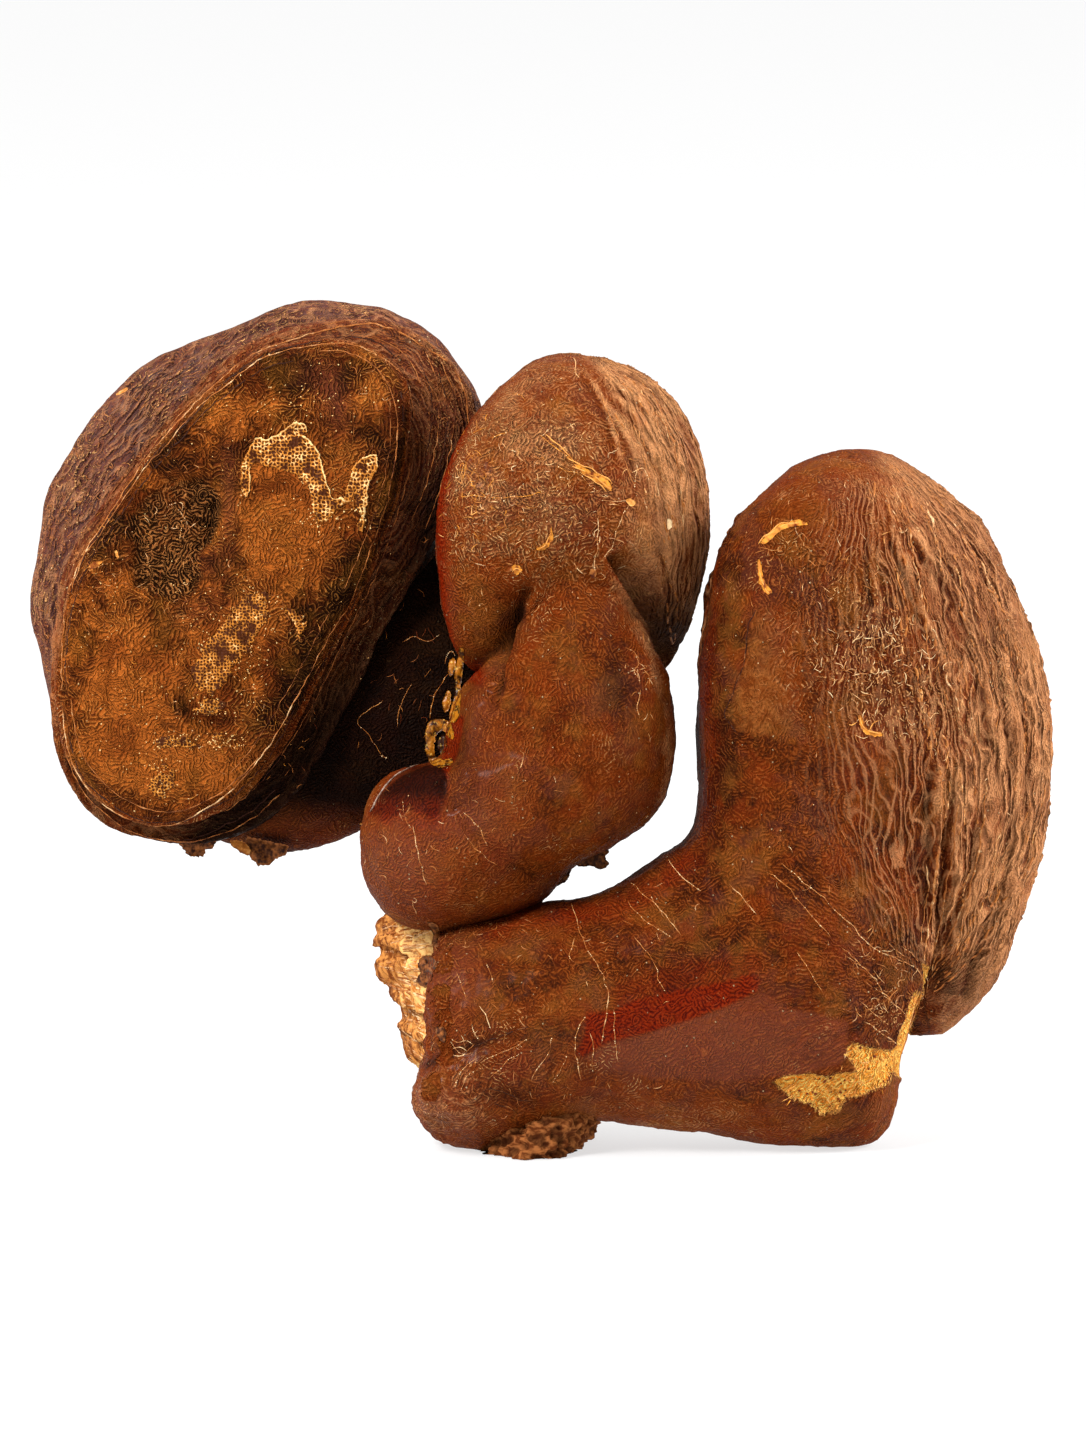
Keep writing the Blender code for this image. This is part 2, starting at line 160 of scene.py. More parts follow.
LEFT_CAP = [
    (PORE_EDGE, 0.02, -30, -0.10, 0.06), (PORE_EDGE, 0.35, -30, -0.10, 0.06),
    (PORE_EDGE, 0.70, -27, -0.10, 0.06), (PORE_EDGE, 0.90, -20, -0.10, 0.06),
    (PORE_EDGE, 0.98, -9, -0.10, 0.06), (PORE_EDGE, 1.01, 8, -0.09, 0.06),
    (SECOND_RIM, 0.99, 22, -0.07, 0.05), (SECOND_RIM, 1.01, 38, -0.05, 0.04),
    (OUTER_RIM, 0.985, 62, -0.03, 0.03), (OUTER_RIM, 1.00, 86, -0.02, 0.02),
    (OUTER_RIM, 0.975, 114, 0.0, 0.0), (OUTER_RIM, 0.88, 142, 0.0, 0.0),
    (OUTER_RIM, 0.70, 166, 0.0, 0.0), (OUTER_RIM, 0.42, 182, 0.0, 0.0),
    (OUTER_RIM, 0.03, 188, 0.0, 0.0),
]


# ---- small tools -------------------------------------------------------------
def smooth(lo, hi, v):
    t = np.clip((v - lo) / (hi - lo), 0.0, 1.0)
    return t * t * (3 - 2 * t)


def catmull(rows, steps):
    rows = np.asarray(rows, float)
    pad = np.vstack([rows[:1], rows, rows[-1:]])
    out = []
    for i in range(1, len(pad) - 2):
        p, q, r, s = pad[i - 1], pad[i], pad[i + 1], pad[i + 2]
        for t in np.arange(steps) / steps:
            out.append(
                0.5
                * (
                    2 * q
                    + (r - p) * t
                    + (2 * p - 5 * q + 4 * r - s) * t * t
                    + (3 * q - p - 3 * r + s) * t**3
                )
            )
    out.append(rows[-1])
    return np.array(out)


def closed_curve(points, steps=6):
    p = np.asarray(points, float)
    n = len(p)
    out = []
    for i in range(n):
        a, b, c, e = p[i - 1], p[i], p[(i + 1) % n], p[(i + 2) % n]
        for t in np.arange(steps) / steps:
            out.append(
                0.5
                * (
                    2 * b
                    + (c - a) * t
                    + (2 * a - 5 * b + 4 * c - e) * t * t
                    + (3 * b - a - 3 * c + e) * t**3
                )
            )
    return np.array(out)


def polar(points):
    """Angles and radii of a closed outline about CAP_CENTRE, ready for interp."""
    c = closed_curve(points)
    dx, dy = c[:, 0] - CAP_CENTRE[0], CAP_CENTRE[1] - c[:, 1]
    a = np.arctan2(dy, dx) % (2 * math.pi)
    r = np.hypot(dx, dy)
    k = np.argsort(a)
    a, r = a[k], r[k]
    return (
        np.concatenate([[a[-1] - 2 * math.pi], a, [a[0] + 2 * math.pi]]),
        np.concatenate([[r[-1]], r, [r[0]]]),
    )


POLAR = {id(o): polar(o) for o in (PORE_EDGE, SECOND_RIM, OUTER_RIM)}


def radius(outline, angle):
    a, r = POLAR[id(outline)]
    return np.interp(angle % (2 * math.pi), a, r)


def hashed(ix, iy, iz, seed):
    h = (
        ix.astype(np.uint32) * np.uint32(374761393)
        + iy.astype(np.uint32) * np.uint32(668265263)
        + iz.astype(np.uint32) * np.uint32(2246822519)
        + np.uint32((seed * 3266489917) % 4294967296)
    )
    h = (h ^ (h >> np.uint32(15))) * np.uint32(2654435761)
    h = (h ^ (h >> np.uint32(13))) * np.uint32(1274126177)
    return h ^ (h >> np.uint32(16))


def noise(p, seed=0):
    """Gradient noise at points p (n, 3), about -1 to 1."""
    base = np.floor(p).astype(np.int64)
    f = p - base
    w = f * f * f * (f * (f * 6 - 15) + 10)
    out = np.zeros(len(p))
    for cx in (0, 1):
        wx = w[:, 0] if cx else 1 - w[:, 0]
        for cy in (0, 1):
            wy = w[:, 1] if cy else 1 - w[:, 1]
            for cz in (0, 1):
                wz = w[:, 2] if cz else 1 - w[:, 2]
                h = hashed(base[:, 0] + cx, base[:, 1] + cy, base[:, 2] + cz, seed)
                gx = (h & np.uint32(1023)).astype(float) / 511.5 - 1
                gy = ((h >> np.uint32(10)) & np.uint32(1023)).astype(float) / 511.5 - 1
                gz = ((h >> np.uint32(20)) & np.uint32(1023)).astype(float) / 511.5 - 1
                out += (
                    wx * wy * wz
                    * (gx * (f[:, 0] - cx) + gy * (f[:, 1] - cy) + gz * (f[:, 2] - cz))
                )
    return out * 1.5


def fbm(p, size, octaves=3, seed=0, gain=0.5):
    out = np.zeros(len(p))
    amp = 1.0
    q = p / size
    for k in range(octaves):
        out += amp * noise(q, seed + 17 * k)
        amp *= gain
        q = q * 2.03 + 11.3
    return out


def ridged(p, seed=0):
    """1 on a crest, falling away to either side."""
    return 1 - np.minimum(np.abs(noise(p, seed)) * 3.2, 1.0)


def near(p, line, reach, closed=False, steps=5):
    """Distance on the sheet from each point to a drawn line (inf beyond reach)
    and how far along the line the nearest spot is, from 0 to 1."""
    line = np.asarray(line, float)
    if len(line) > 2:
        line = closed_curve(line, steps) if closed else catmull(line, steps)
    if closed:
        line = np.vstack([line, line[:1]])
    best = np.full(len(p), np.inf)
    along = np.zeros(len(p))
    lo, hi = line.min(0) - reach, line.max(0) + reach
    pick = np.nonzero(
        (p[:, 0] > lo[0]) & (p[:, 0] < hi[0]) & (p[:, 1] > lo[1]) & (p[:, 1] < hi[1])
    )[0]
    if not len(pick):
        return best, along
    q = p[pick, :2]
    d, w = np.full(len(q), np.inf), np.zeros(len(q))
    n = len(line) - 1
    for i in range(n):
        a, b = line[i], line[i + 1]
        ab = b - a
        t = np.clip(((q - a) @ ab) / max(ab @ ab, 1e-9), 0, 1)
        e = np.hypot(*(q - a - t[:, None] * ab).T)
        closer = e < d
        d[closer] = e[closer]
        w[closer] = (i + t[closer]) / n
    best[pick], along[pick] = d, w
    return best, along


def inside(p, polygon):
    """Signed distance on the sheet to a drawn polygon: positive inside."""
    poly = np.asarray(polygon, float)
    d, _ = near(p, poly, 60, closed=True, steps=1)
    poly = np.vstack([poly, poly[:1]])
    odd = np.zeros(len(p), bool)
    for (x0, y0), (x1, y1) in zip(poly, poly[1:]):
        if y0 == y1:
            continue
        hit = ((p[:, 1] >= min(y0, y1)) & (p[:, 1] < max(y0, y1))) & (
            p[:, 0] < x0 + (p[:, 1] - y0) * (x1 - x0) / (y1 - y0)
        )
        odd ^= hit
    d = np.minimum(d, 60.0)
    return np.where(odd, d, -d)


def blob(p, x, y, rx, ry, turn=0.0):
    """A soft spot on the sheet, 1 in the middle."""
    c, s = math.cos(math.radians(turn)), math.sin(math.radians(turn))
    dx, dy = p[:, 0] - x, p[:, 1] - y
    u, v = (dx * c + dy * s) / rx, (-dx * s + dy * c) / ry
    return np.exp(-(u * u + v * v))


# ---- skins -------------------------------------------------------------------
def section_rings(rows, steps, count):
    """Rings of a loft whose rows are x0, y0, x1, y1, d, front, back, gain."""
    rows = catmull(rows, steps)
    a = 2 * math.pi * np.arange(count) / count
    c, s = np.cos(a), np.sin(a)
    rings = []
    for x0, y0, x1, y1, d, front, back, gain in rows:
        half = np.where(s > 0, front, back)
        rings.append(
            np.stack(
                [
                    (x0 + x1) / 2 + c * (x1 - x0) / 2,
                    (y0 + y1) / 2 + c * (y1 - y0) / 2,
                    d + gain * c - half * s,
                ],
                1,
            )
        )
    return rings


def stem_rings(rows, steps=5, count=96):
    return section_rings([(*r, 0) for r in rows], steps, count)


def level_rings(rows, steps=5, count=96):
    return section_rings(
        [(x0, y, x1, y, d, f, b, g) for y, x0, x1, d, f, b, g in rows], steps, count
    )


def cap_rings(rows, steps=4, count=240):
    a = 2 * math.pi * np.arange(count) / count
    flat = []
    for outline, scale, depth, right, down in rows:
        r = scale * radius(outline, a)
        x, y = r * np.cos(a), -r * np.sin(a)
        flat.append(
            np.stack(
                [CAP_CENTRE[0] + x, CAP_CENTRE[1] + y, depth + right * x + down * y], 1
            ).ravel()
        )
    return [row.reshape(-1, 3) for row in catmull(flat, steps)]


def loft(rings):
    n = len(rings[0])
    verts = np.vstack(rings)
    faces = []
    for i in range(len(rings) - 1):
        for k in range(n):
            m = (k + 1) % n
            faces.append((i * n + k, i * n + m, (i + 1) * n + m, (i + 1) * n + k))
    ends = np.stack([rings[0].mean(0), rings[-1].mean(0)])
    first, last = len(verts), len(verts) + 1
    top = (len(rings) - 1) * n
    for k in range(n):
        m = (k + 1) % n
        faces.append((m, k, first))
        faces.append((top + k, top + m, last))
    return np.vstack([verts, ends]), faces


class Skin:
    """A melted skin whose points are kept on the sheet until it is finished."""

    def __init__(self, name, lofts, voxel):
        verts, faces, start = [], [], 0
        for v, f in lofts:
            verts.append(v)
            faces += [tuple(k + start for k in face) for face in f]
            start += len(v)
        mesh = bpy.data.meshes.new(name + "_lofts")
        mesh.from_pydata(np.vstack(verts).tolist(), [], faces)
        mesh.update()
        temp = bpy.data.objects.new(name + "_lofts", mesh)
        bpy.context.scene.collection.objects.link(temp)
        melt = temp.modifiers.new("melt", "REMESH")
        melt.mode = "VOXEL"
        melt.voxel_size = voxel
        graph = bpy.context.evaluated_depsgraph_get()
        self.mesh = bpy.data.meshes.new_from_object(temp.evaluated_get(graph))
        self.mesh.name = name
        bpy.data.objects.remove(temp)
        self.name = name
        self.read()

    def read(self):
        m = self.mesh
        self.p = np.empty(len(m.vertices) * 3)
        m.vertices.foreach_get("co", self.p)
        self.p = self.p.reshape(-1, 3)
        self.e = np.empty(len(m.edges) * 2, dtype=np.int32)
        m.edges.foreach_get("vertices", self.e)
        self.e = self.e.reshape(-1, 2)
        m.calc_loop_triangles()
        self.t = np.empty(len(m.loop_triangles) * 3, dtype=np.int32)
        m.loop_triangles.foreach_get("vertices", self.t)
        self.t = self.t.reshape(-1, 3)
        a, b, c = (self.p[self.t[:, k]] for k in range(3))
        if np.einsum("ij,ij->i", a, np.cross(b, c)).sum() < 0:
            m.flip_normals()
            self.t = self.t[:, ::-1].copy()
        n = len(self.p)
        self.degree = np.bincount(self.e.ravel(), minlength=n).astype(float)
        self.marks = {}
        self.along = np.tile([0.0, 1.0, 0.0], (n, 1))
        self.n = self.normals()

    def averaged(self, values):
        """Each point's value replaced by the mean of its neighbours'."""
        n = len(self.p)
        a, b = self.e[:, 0], self.e[:, 1]
        if values.ndim == 1:
            s = np.bincount(a, values[b], n) + np.bincount(b, values[a], n)
            return s / self.degree
        return np.stack([self.averaged(values[:, k]) for k in range(3)], 1)

    def relax(self, times, where=None):
        for _ in range(times):
            step = (self.averaged(self.p) - self.p) * 0.5
            if where is not None:
                step *= where[:, None]
            self.p += step
        self.n = self.normals()

    def normals(self):
        a, b, c = (self.p[self.t[:, k]] for k in range(3))
        f = np.cross(b - a, c - a)
        n = len(self.p)
        out = np.zeros((n, 3))
        for k in range(3):
            for j in range(3):
                out[:, j] += np.bincount(self.t[:, k], f[:, j], n)
        return out / np.maximum(np.linalg.norm(out, axis=1), 1e-12)[:, None]

    def front(self, lo=0.02, hi=0.3):
        """1 where the skin faces the front, 0 on its back."""
        return smooth(lo, hi, -self.n[:, 2])

    def push(self, height):
        self.p += self.n * height[:, None]
        self.n = self.normals()

    def hollows(self, rounds=6):
        """Positive in creases, negative on crests, in units of the sheet."""
        h = np.einsum("ij,ij->i", self.averaged(self.p) - self.p, self.n)
        for _ in range(rounds):
            h = self.averaged(h)
        return h

    def tree(self):
        return BVHTree.FromPolygons(self.p.tolist(), self.t.tolist())

    def finish(self, skin, slot, nodes, ground=True):
        w = to_world(self.p)
        if ground:
            w[:, 2] = np.maximum(w[:, 2], 0.0)
        self.mesh.vertices.foreach_set("co", w.ravel())
        for name, values in self.marks.items():
            made = self.mesh.attributes.new(name, "FLOAT", "POINT")
            made.data.foreach_set("value", values.astype(np.float32))
        along = to_world(self.p + self.along) - to_world(self.p)
        n = to_world(self.p + self.n) - to_world(self.p)
        n /= np.maximum(np.linalg.norm(n, axis=1), 1e-12)[:, None]
        along -= n * np.einsum("ij,ij->i", along, n)[:, None]
        along /= np.maximum(np.linalg.norm(along, axis=1), 1e-12)[:, None]
        for name, vectors in (("along", along), ("across", np.cross(n, along))):
            made = self.mesh.attributes.new(name, "FLOAT_VECTOR", "POINT")
            made.data.foreach_set("vector", vectors.astype(np.float32).ravel())
        self.mesh.polygons.foreach_set(
            "use_smooth", np.ones(len(self.mesh.polygons), bool)
        )
        self.mesh.update()
        self.mesh.materials.clear()
        self.mesh.materials.append(skin)
        made = bpy.data.objects.new(self.name, self.mesh)
        bpy.context.scene.collection.objects.link(made)
        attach(made, "root")
        if nodes:
            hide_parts(*nodes)
        return made


# ---- node materials ----------------------------------------------------------
class Graph:
    """A material's nodes, with short calls for the ones used here."""

    def __init__(self, name):
        self.mat = bpy.data.materials.new(name)
        self.mat.use_nodes = True
        self.t = self.mat.node_tree
        self.bsdf = self.t.nodes["Principled BSDF"]
        tc = self.t.nodes.new("ShaderNodeTexCoord")
        self.pos = self.vec("SCALE", tc.outputs["Object"], scale=1.0 / GRID)

    def put(self, socket, value):
        if isinstance(value, bpy.types.NodeSocket):
            self.t.links.new(value, socket)
        elif isinstance(value, (tuple, list)) and len(value) == 3 and socket.type == "RGBA":
            socket.default_value = (*value, 1.0)
        else:
            socket.default_value = value

    def vec(self, op, a, b=None, scale=None):
        n = self.t.nodes.new("ShaderNodeVectorMath")
        n.operation = op
        self.put(n.inputs[0], a)
        if b is not None:
            self.put(n.inputs[1], b)
        if scale is not None:
            self.put(n.inputs["Scale"], scale)
        return n.outputs["Value" if op == "LENGTH" else 0]

    def math(self, op, a, b=None, c=None, clamp=False):
        n = self.t.nodes.new("ShaderNodeMath")
        n.operation = op
        n.use_clamp = clamp
        for k, v in enumerate((a, b, c)):
            if v is not None:
                self.put(n.inputs[k], v)
        return n.outputs[0]

    def attr(self, name):
        n = self.t.nodes.new("ShaderNodeAttribute")
        n.attribute_name = name
        return n.outputs["Fac"]

    def vector(self, name):
        n = self.t.nodes.new("ShaderNodeAttribute")
        n.attribute_name = name
        return n.outputs["Vector"]

    def dot(self, a, b):
        n = self.t.nodes.new("ShaderNodeVectorMath")
        n.operation = "DOT_PRODUCT"
        self.put(n.inputs[0], a)
        self.put(n.inputs[1], b)
        return n.outputs["Value"]

    def split(self, colour):
        n = self.t.nodes.new("ShaderNodeSeparateColor")
        self.put(n.inputs[0], colour)
        return n.outputs

    def strokes(self, at, size, period, comb, rings=0.0):
        """Patches of fine parallel strokes, 0 to 1: within each cell of this
        size they keep one direction, near the skin's own where comb is 1."""
        n = self.cells(size, at=at)
        r, green, b = self.split(n.outputs["Color"])[:3]
        local = self.vec("SUBTRACT", at, n.outputs["Position"])
        spread = self.step(comb, 0.0, 1.0, 3.1, 0.5)
        turn = self.mul(self.math("SUBTRACT", r, 0.5), spread)
        u = self.dot(local, self.vector("across"))
        v = self.dot(local, self.vector("along"))
        phase = self.add(self.mul(u, self.math("COSINE", turn)), self.mul(v, self.math("SINE", turn)))
        if rings:
            ring = self.vec("LENGTH", local)
            phase = self.lerp(self.step(b, 1 - rings, 1.001 - rings), phase, ring)
        beat = self.math("MULTIPLY_ADD", b, 0.5, 0.78)
        phase = self.add(self.mul(phase, beat, 2 * math.pi / period), self.mul(green, 6.28))
        return self.math("MULTIPLY_ADD", self.math("SINE", phase), 0.5, 0.5)

    def lerp(self, fac, a, b):
        n = self.t.nodes.new("ShaderNodeMix")
        n.data_type = "FLOAT"
        self.put(n.inputs[0], fac)
        self.put(n.inputs[2], a)
        self.put(n.inputs[3], b)
        return n.outputs[0]

    def contours(self, field, count, width):
        f = self.math("FRACT", self.math("MULTIPLY", field, count))
        f = self.math("ABSOLUTE", self.math("SUBTRACT", f, 0.5))
        return self.step(f, width, 0.0)

    def noise(self, size, detail=2.0, rough=0.5, at=None, warp=0.0, colour=False):
        n = self.t.nodes.new("ShaderNodeTexNoise")
        self.put(n.inputs["Vector"], at or self.pos)
        n.inputs["Scale"].default_value = 1.0 / size
        n.inputs["Detail"].default_value = detail
        n.inputs["Roughness"].default_value = rough
        n.inputs["Distortion"].default_value = warp
        return n.outputs["Color" if colour else "Fac"]

    def cells(self, size, feature="F1", at=None, random=1.0):
        n = self.t.nodes.new("ShaderNodeTexVoronoi")
        n.feature = feature
        self.put(n.inputs["Vector"], at or self.pos)
        n.inputs["Scale"].default_value = 1.0 / size
        n.inputs["Randomness"].default_value = random
        return n

    def step(self, value, lo, hi, out0=0.0, out1=1.0):
        n = self.t.nodes.new("ShaderNodeMapRange")
        n.interpolation_type = "SMOOTHSTEP"
        n.clamp = True
        self.put(n.inputs["Value"], value)
        n.inputs["From Min"].default_value = lo
        n.inputs["From Max"].default_value = hi
        n.inputs["To Min"].default_value = out0
        n.inputs["To Max"].default_value = out1
        return n.outputs["Result"]

    def mix(self, fac, a, b, kind="MIX"):
        n = self.t.nodes.new("ShaderNodeMix")
        n.data_type = "RGBA"
        n.blend_type = kind
        n.clamp_factor = True
        self.put(n.inputs[0], fac)
        self.put(n.inputs[6], a)
        self.put(n.inputs[7], b)
        return n.outputs[2]

    def warped(self, size, amount, detail=1.0):
        """Positions pushed about by noise of this size, by up to this amount."""
        c = self.noise(size, detail, colour=True)
        off = self.vec("SUBTRACT", c, (0.5, 0.5, 0.5))
        return self.vec("ADD", self.pos, self.vec("SCALE", off, scale=2.0 * amount))

    def specks(self, size, radius_, chance, at=None):
        """Scattered small dots, 1 inside a dot."""
        n = self.cells(size, at=at)
        dot = self.step(n.outputs["Distance"], radius_ / size, radius_ / size * 0.5)
        sep = self.t.nodes.new("ShaderNodeSeparateColor")
        self.put(sep.inputs[0], n.outputs["Color"])
        return self.math("MULTIPLY", dot, self.step(sep.outputs[0], 1 - chance, 1.001 - chance + 0.02))

    def mul(self, *values):
        out = values[0]
        for v in values[1:]:
            out = self.math("MULTIPLY", out, v)
        return out

    def add(self, *values):
        out = values[0]
        for v in values[1:]:
            out = self.math("ADD", out, v)
        return out


def srgb(r, g, b):
    return tuple(
        (c / 255 / 12.92 if c <= 10 else ((c / 255 + 0.055) / 1.055) ** 2.4)
        for c in (r, g, b)
    )


def crust_material(name, pores=False):
    """Brown reishi crust.  Marks read from the skin: tan (0 dark to 1 tan),
    red, mauve (own purple-brown, with painted sheen and painted reflection
    of the floor), shade (painted shade), scrib (how thickly hyphae lie on it),
    crest (painted highlight on crests, painted shade in furrows), dent
    (painted shade in creases and hollows), comb (0 curly, 1 combed along the
    growth), mid and patch (slow noises), torn (how far inside a torn spot, in
    sheet units), gloss; on the left cap also pore, ochre, pit."""
    g = Graph(name)
    mid, patch, lay, comb = g.attr("mid"), g.attr("patch"), g.attr("scrib"), g.attr("comb")
    warped = g.warped(8.0, 2.6, detail=0)
    grain = g.noise(2.3, 1, 0.5)
    fine = g.math("MULTIPLY_ADD", g.math("SUBTRACT", grain, 0.5), 0.75, g.strokes(warped, 11.0, 3.7, comb, rings=0.2))
    breaks = g.step(g.noise(5.5, 1, 0.5), 0.36, 0.58)
    worms = g.lerp(g.math("MULTIPLY_ADD", breaks, 0.85, 0.15), g.step(grain, 0.25, 0.75), fine)
    rich = g.step(lay, -0.2, 0.8, 0.36, 1.0)

    # the ground colour
    dark, brown, tan = srgb(46, 14, 1), srgb(118, 49, 6), srgb(208, 142, 90)
    cloud = g.math("SUBTRACT", g.noise(23.0, 4, 0.62, warp=0.5), 0.5)
    calm = g.attr("calm")
    grit = g.mul(g.math("SUBTRACT", worms, 0.5), g.math("MULTIPLY_ADD", calm, -0.15, 0.26))
    # the crest mark adds painted highlight on crests and painted shade in furrows to the tone
    tone = g.add(g.attr("tan"), g.mul(mid, 0.08), g.mul(patch, 0.18), g.mul(cloud, 1.05), grit, g.mul(g.math("SUBTRACT", breaks, 0.5), 0.16), g.mul(g.attr("crest"), 0.75), g.math("MULTIPLY_ADD", g.attr("ridge"), 0.11, -0.06))
    colour = g.mix(g.step(tone, -0.45, 0.3), dark, brown)
    colour = g.mix(g.step(tone, 0.25, 1.15), colour, tan)
    # mauve: the crust's own purple-brown, with painted sheen and painted reflection of the floor on glossy parts
    colour = g.mix(g.mul(g.attr("mauve_and_sheen"), g.step(worms, 0.0, 0.7, 0.9, 0.6)), colour, srgb(104, 68, 62) if pores else srgb(112, 50, 27))

    # slow changes of hue: olive, purple and rust
    olive, purple, rust = g.split(g.noise(52.0, 4, 0.62, colour=True))[:3]
    plain = g.math("MULTIPLY_ADD", g.attr("mauve_and_sheen"), -0.8, 1.0, clamp=True)
    colour = g.mix(g.mul(plain, g.step(olive, 0.48, 0.64, 0.0, 0.4)), colour, srgb(136, 80, 26))
    colour = g.mix(g.mul(plain, g.step(purple, 0.49, 0.62, 0.0, 0.4)), colour, srgb(90, 42, 30))
    colour = g.mix(g.mul(plain, g.step(rust, 0.49, 0.62, 0.0, 0.45)), colour, srgb(118, 40, 3))

    colour = g.mix(g.mul(g.attr("worn"), 0.42), colour, g.mix(g.step(g.noise(9.0, 3, 0.6), 0.38, 0.62), srgb(96, 52, 14), srgb(146, 92, 42)))

    red = g.mul(g.attr("red"), g.step(mid, -0.9, 0.1, 0.75, 1.0))
    colour = g.mix(red, colour, g.mix(g.step(worms, 0.0, 0.8), srgb(72, 8, 0), srgb(122, 29, 0)))
    colour = g.mix(g.mul(g.attr("bright"), g.step(worms, 0.0, 0.7, 0.5, 1.0)), colour, srgb(124, 24, 2))

    # the fine strokes, dark between them
    deep = g.mix(0.8, colour, srgb(24, 7, 1))
    light = g.mix(0.6, colour, g.mix(rich, srgb(190, 104, 38), srgb(236, 152, 80)))
    amount = g.mul(rich, g.step(cloud, -0.12, 0.12, 0.5, 1.3), g.math("MULTIPLY_ADD", calm, -0.45, 1.0), g.math("MULTIPLY_ADD", red, -0.55, 1.0))
    colour = g.mix(g.math("MULTIPLY", g.step(worms, 0.40, 0.0), g.mul(amount, 0.78), clamp=True), colour, deep)
    colour = g.mix(g.math("MULTIPLY", g.step(worms, 0.55, 1.0), g.mul(amount, 0.7), clamp=True), colour, light)

    # wavy strands along the growth, where the skin is ridged
    ridge, flow = g.attr("ridge"), g.attr("flow")
    drift_a, drift_b, thick = g.split(g.noise(34.0, 1.2, 0.5, at=g.vec("MULTIPLY", g.pos, (1.0, 1.0, 0.5)), colour=True))[:3]
    waves = []
    for drifted, period, sway in ((drift_a, 9.5, 46.0), (drift_b, 13.5, 60.0)):
        phase = g.mul(g.math("MULTIPLY_ADD", g.math("SUBTRACT", drifted, 0.5), sway, flow), 2 * math.pi / period)
        waves.append(g.math("MULTIPLY_ADD", g.math("SINE", phase), 0.5, 0.5))
    strands = g.math("MAXIMUM", waves[0], g.mul(waves[1], 0.92))
    strands = g.math("MULTIPLY_ADD", g.math("SUBTRACT", grain, 0.5), 0.08, strands)
    hair = g.mul(ridge, g.step(thick, 0.36, 0.56, 0.35, 1.0))
    colour = g.mix(g.mul(g.step(strands, 0.62, 0.2), hair, 0.55), colour, g.mix(0.7, colour, srgb(34, 10, 3)))
    colour = g.mix(g.mul(g.step(strands, 0.72, 1.0), hair, 0.6), colour, srgb(228, 158, 104))

    # thin light hyphae, and cream specks in patches that also stand in for tiny glints as painted highlights
    patchy = g.step(g.math("ADD", patch, g.mul(lay, 1.5)), 0.1, 1.0)
    lines = g.mul(g.step(fine, 0.86, 0.98), patchy, g.step(breaks, 0.3, 0.9))
    colour = g.mix(g.mul(lines, 0.8), colour, srgb(240, 178, 112))
    dots = g.specks(9.5, 1.25, 0.34)
    colour = g.mix(g.mul(dots, g.step(lay, -0.3, 0.6, 0.4, 1.0)), colour, srgb(252, 214, 160))

    # painted shade: the crust darkened in creases and hollows by the dent mark
    colour = g.mix(g.math("MULTIPLY", g.attr("crease_shade"), 0.85, clamp=True), colour, srgb(20, 6, 1))
    height = g.add(g.mul(worms, amount, 0.9), g.mul(strands, hair, 1.7), g.mul(lines, 0.6), g.mul(dots, 0.6), g.mul(grain, 0.3))
    rough = g.add(0.68, g.mul(mid, 0.08), g.mul(g.attr("gloss"), -0.38))

    if pores:
        # the pore face: ochre, spongy, with dark pits
        pit = g.attr("pit")
        ground = g.add(g.mul(g.attr("ochre"), 1.15), g.mul(mid, 0.12), g.mul(cloud, 2.3), grit)
        ochre = g.mix(g.step(ground, -0.1, 0.35), srgb(42, 15, 3), srgb(96, 42, 10))
        ochre = g.mix(g.step(ground, 0.3, 1.0), ochre, srgb(180, 94, 32))
        ochre = g.mix(g.step(olive, 0.5, 0.64, 0.0, 0.4), ochre, srgb(140, 84, 24))
        ochre = g.mix(g.step(rust, 0.5, 0.62, 0.0, 0.55), ochre, srgb(112, 44, 10))
        ochre = g.mix(g.mul(g.attr("mauve_and_sheen"), 0.85), ochre, srgb(108, 52, 32))
        sponge = fine
        ochre = g.mix(g.mul(g.step(sponge, 0.5, 0.0), g.math("MULTIPLY_ADD", calm, -0.8, 1.0), g.step(cloud, 0.12, -0.16, 0.1, 0.6)), ochre, g.mix(0.75, ochre, srgb(28, 10, 2)))
        ochre = g.mix(g.mul(g.step(sponge, 0.72, 1.0), g.math("MULTIPLY_ADD", calm, -0.8, 1.0), g.step(patch, -0.2, 0.6, 0.1, 0.5)), ochre, srgb(216, 140, 62))
        tiny = g.cells(3.3, random=0.7)
        holes = g.step(tiny.outputs["Distance"], 0.42, 0.18)
        ochre = g.mix(g.mul(holes, 0.45), ochre, srgb(60, 26, 6))
        tangle = g.mix(g.step(sponge, 0.3, 0.95), srgb(32, 15, 4), srgb(176, 112, 58))
        ochre = g.mix(g.mul(g.step(g.math("MULTIPLY_ADD", g.math("SUBTRACT", breaks, 0.5), 0.25, pit), 0.1, 0.9), 0.9), ochre, tangle)
        ochre = g.mix(g.mul(g.specks(11, 1.2, 0.3), 0.9), ochre, srgb(248, 208, 140))
        # painted shade: the pore face darkened in creases and hollows by the dent mark
        ochre = g.mix(g.math("MULTIPLY", g.attr("crease_shade"), 0.8, clamp=True), ochre, srgb(20, 7, 1))
        face = g.step(g.math("ADD", g.attr("pore"), g.mul(mid, 3.0)), -1.5, 1.5)
        colour = g.mix(face, colour, ochre)
        pore_h = g.add(g.mul(sponge, 0.9), g.mul(holes, -0.5))
        height = g.lerp(face, height, pore_h)
        rough = g.add(rough, g.mul(face, 0.15))

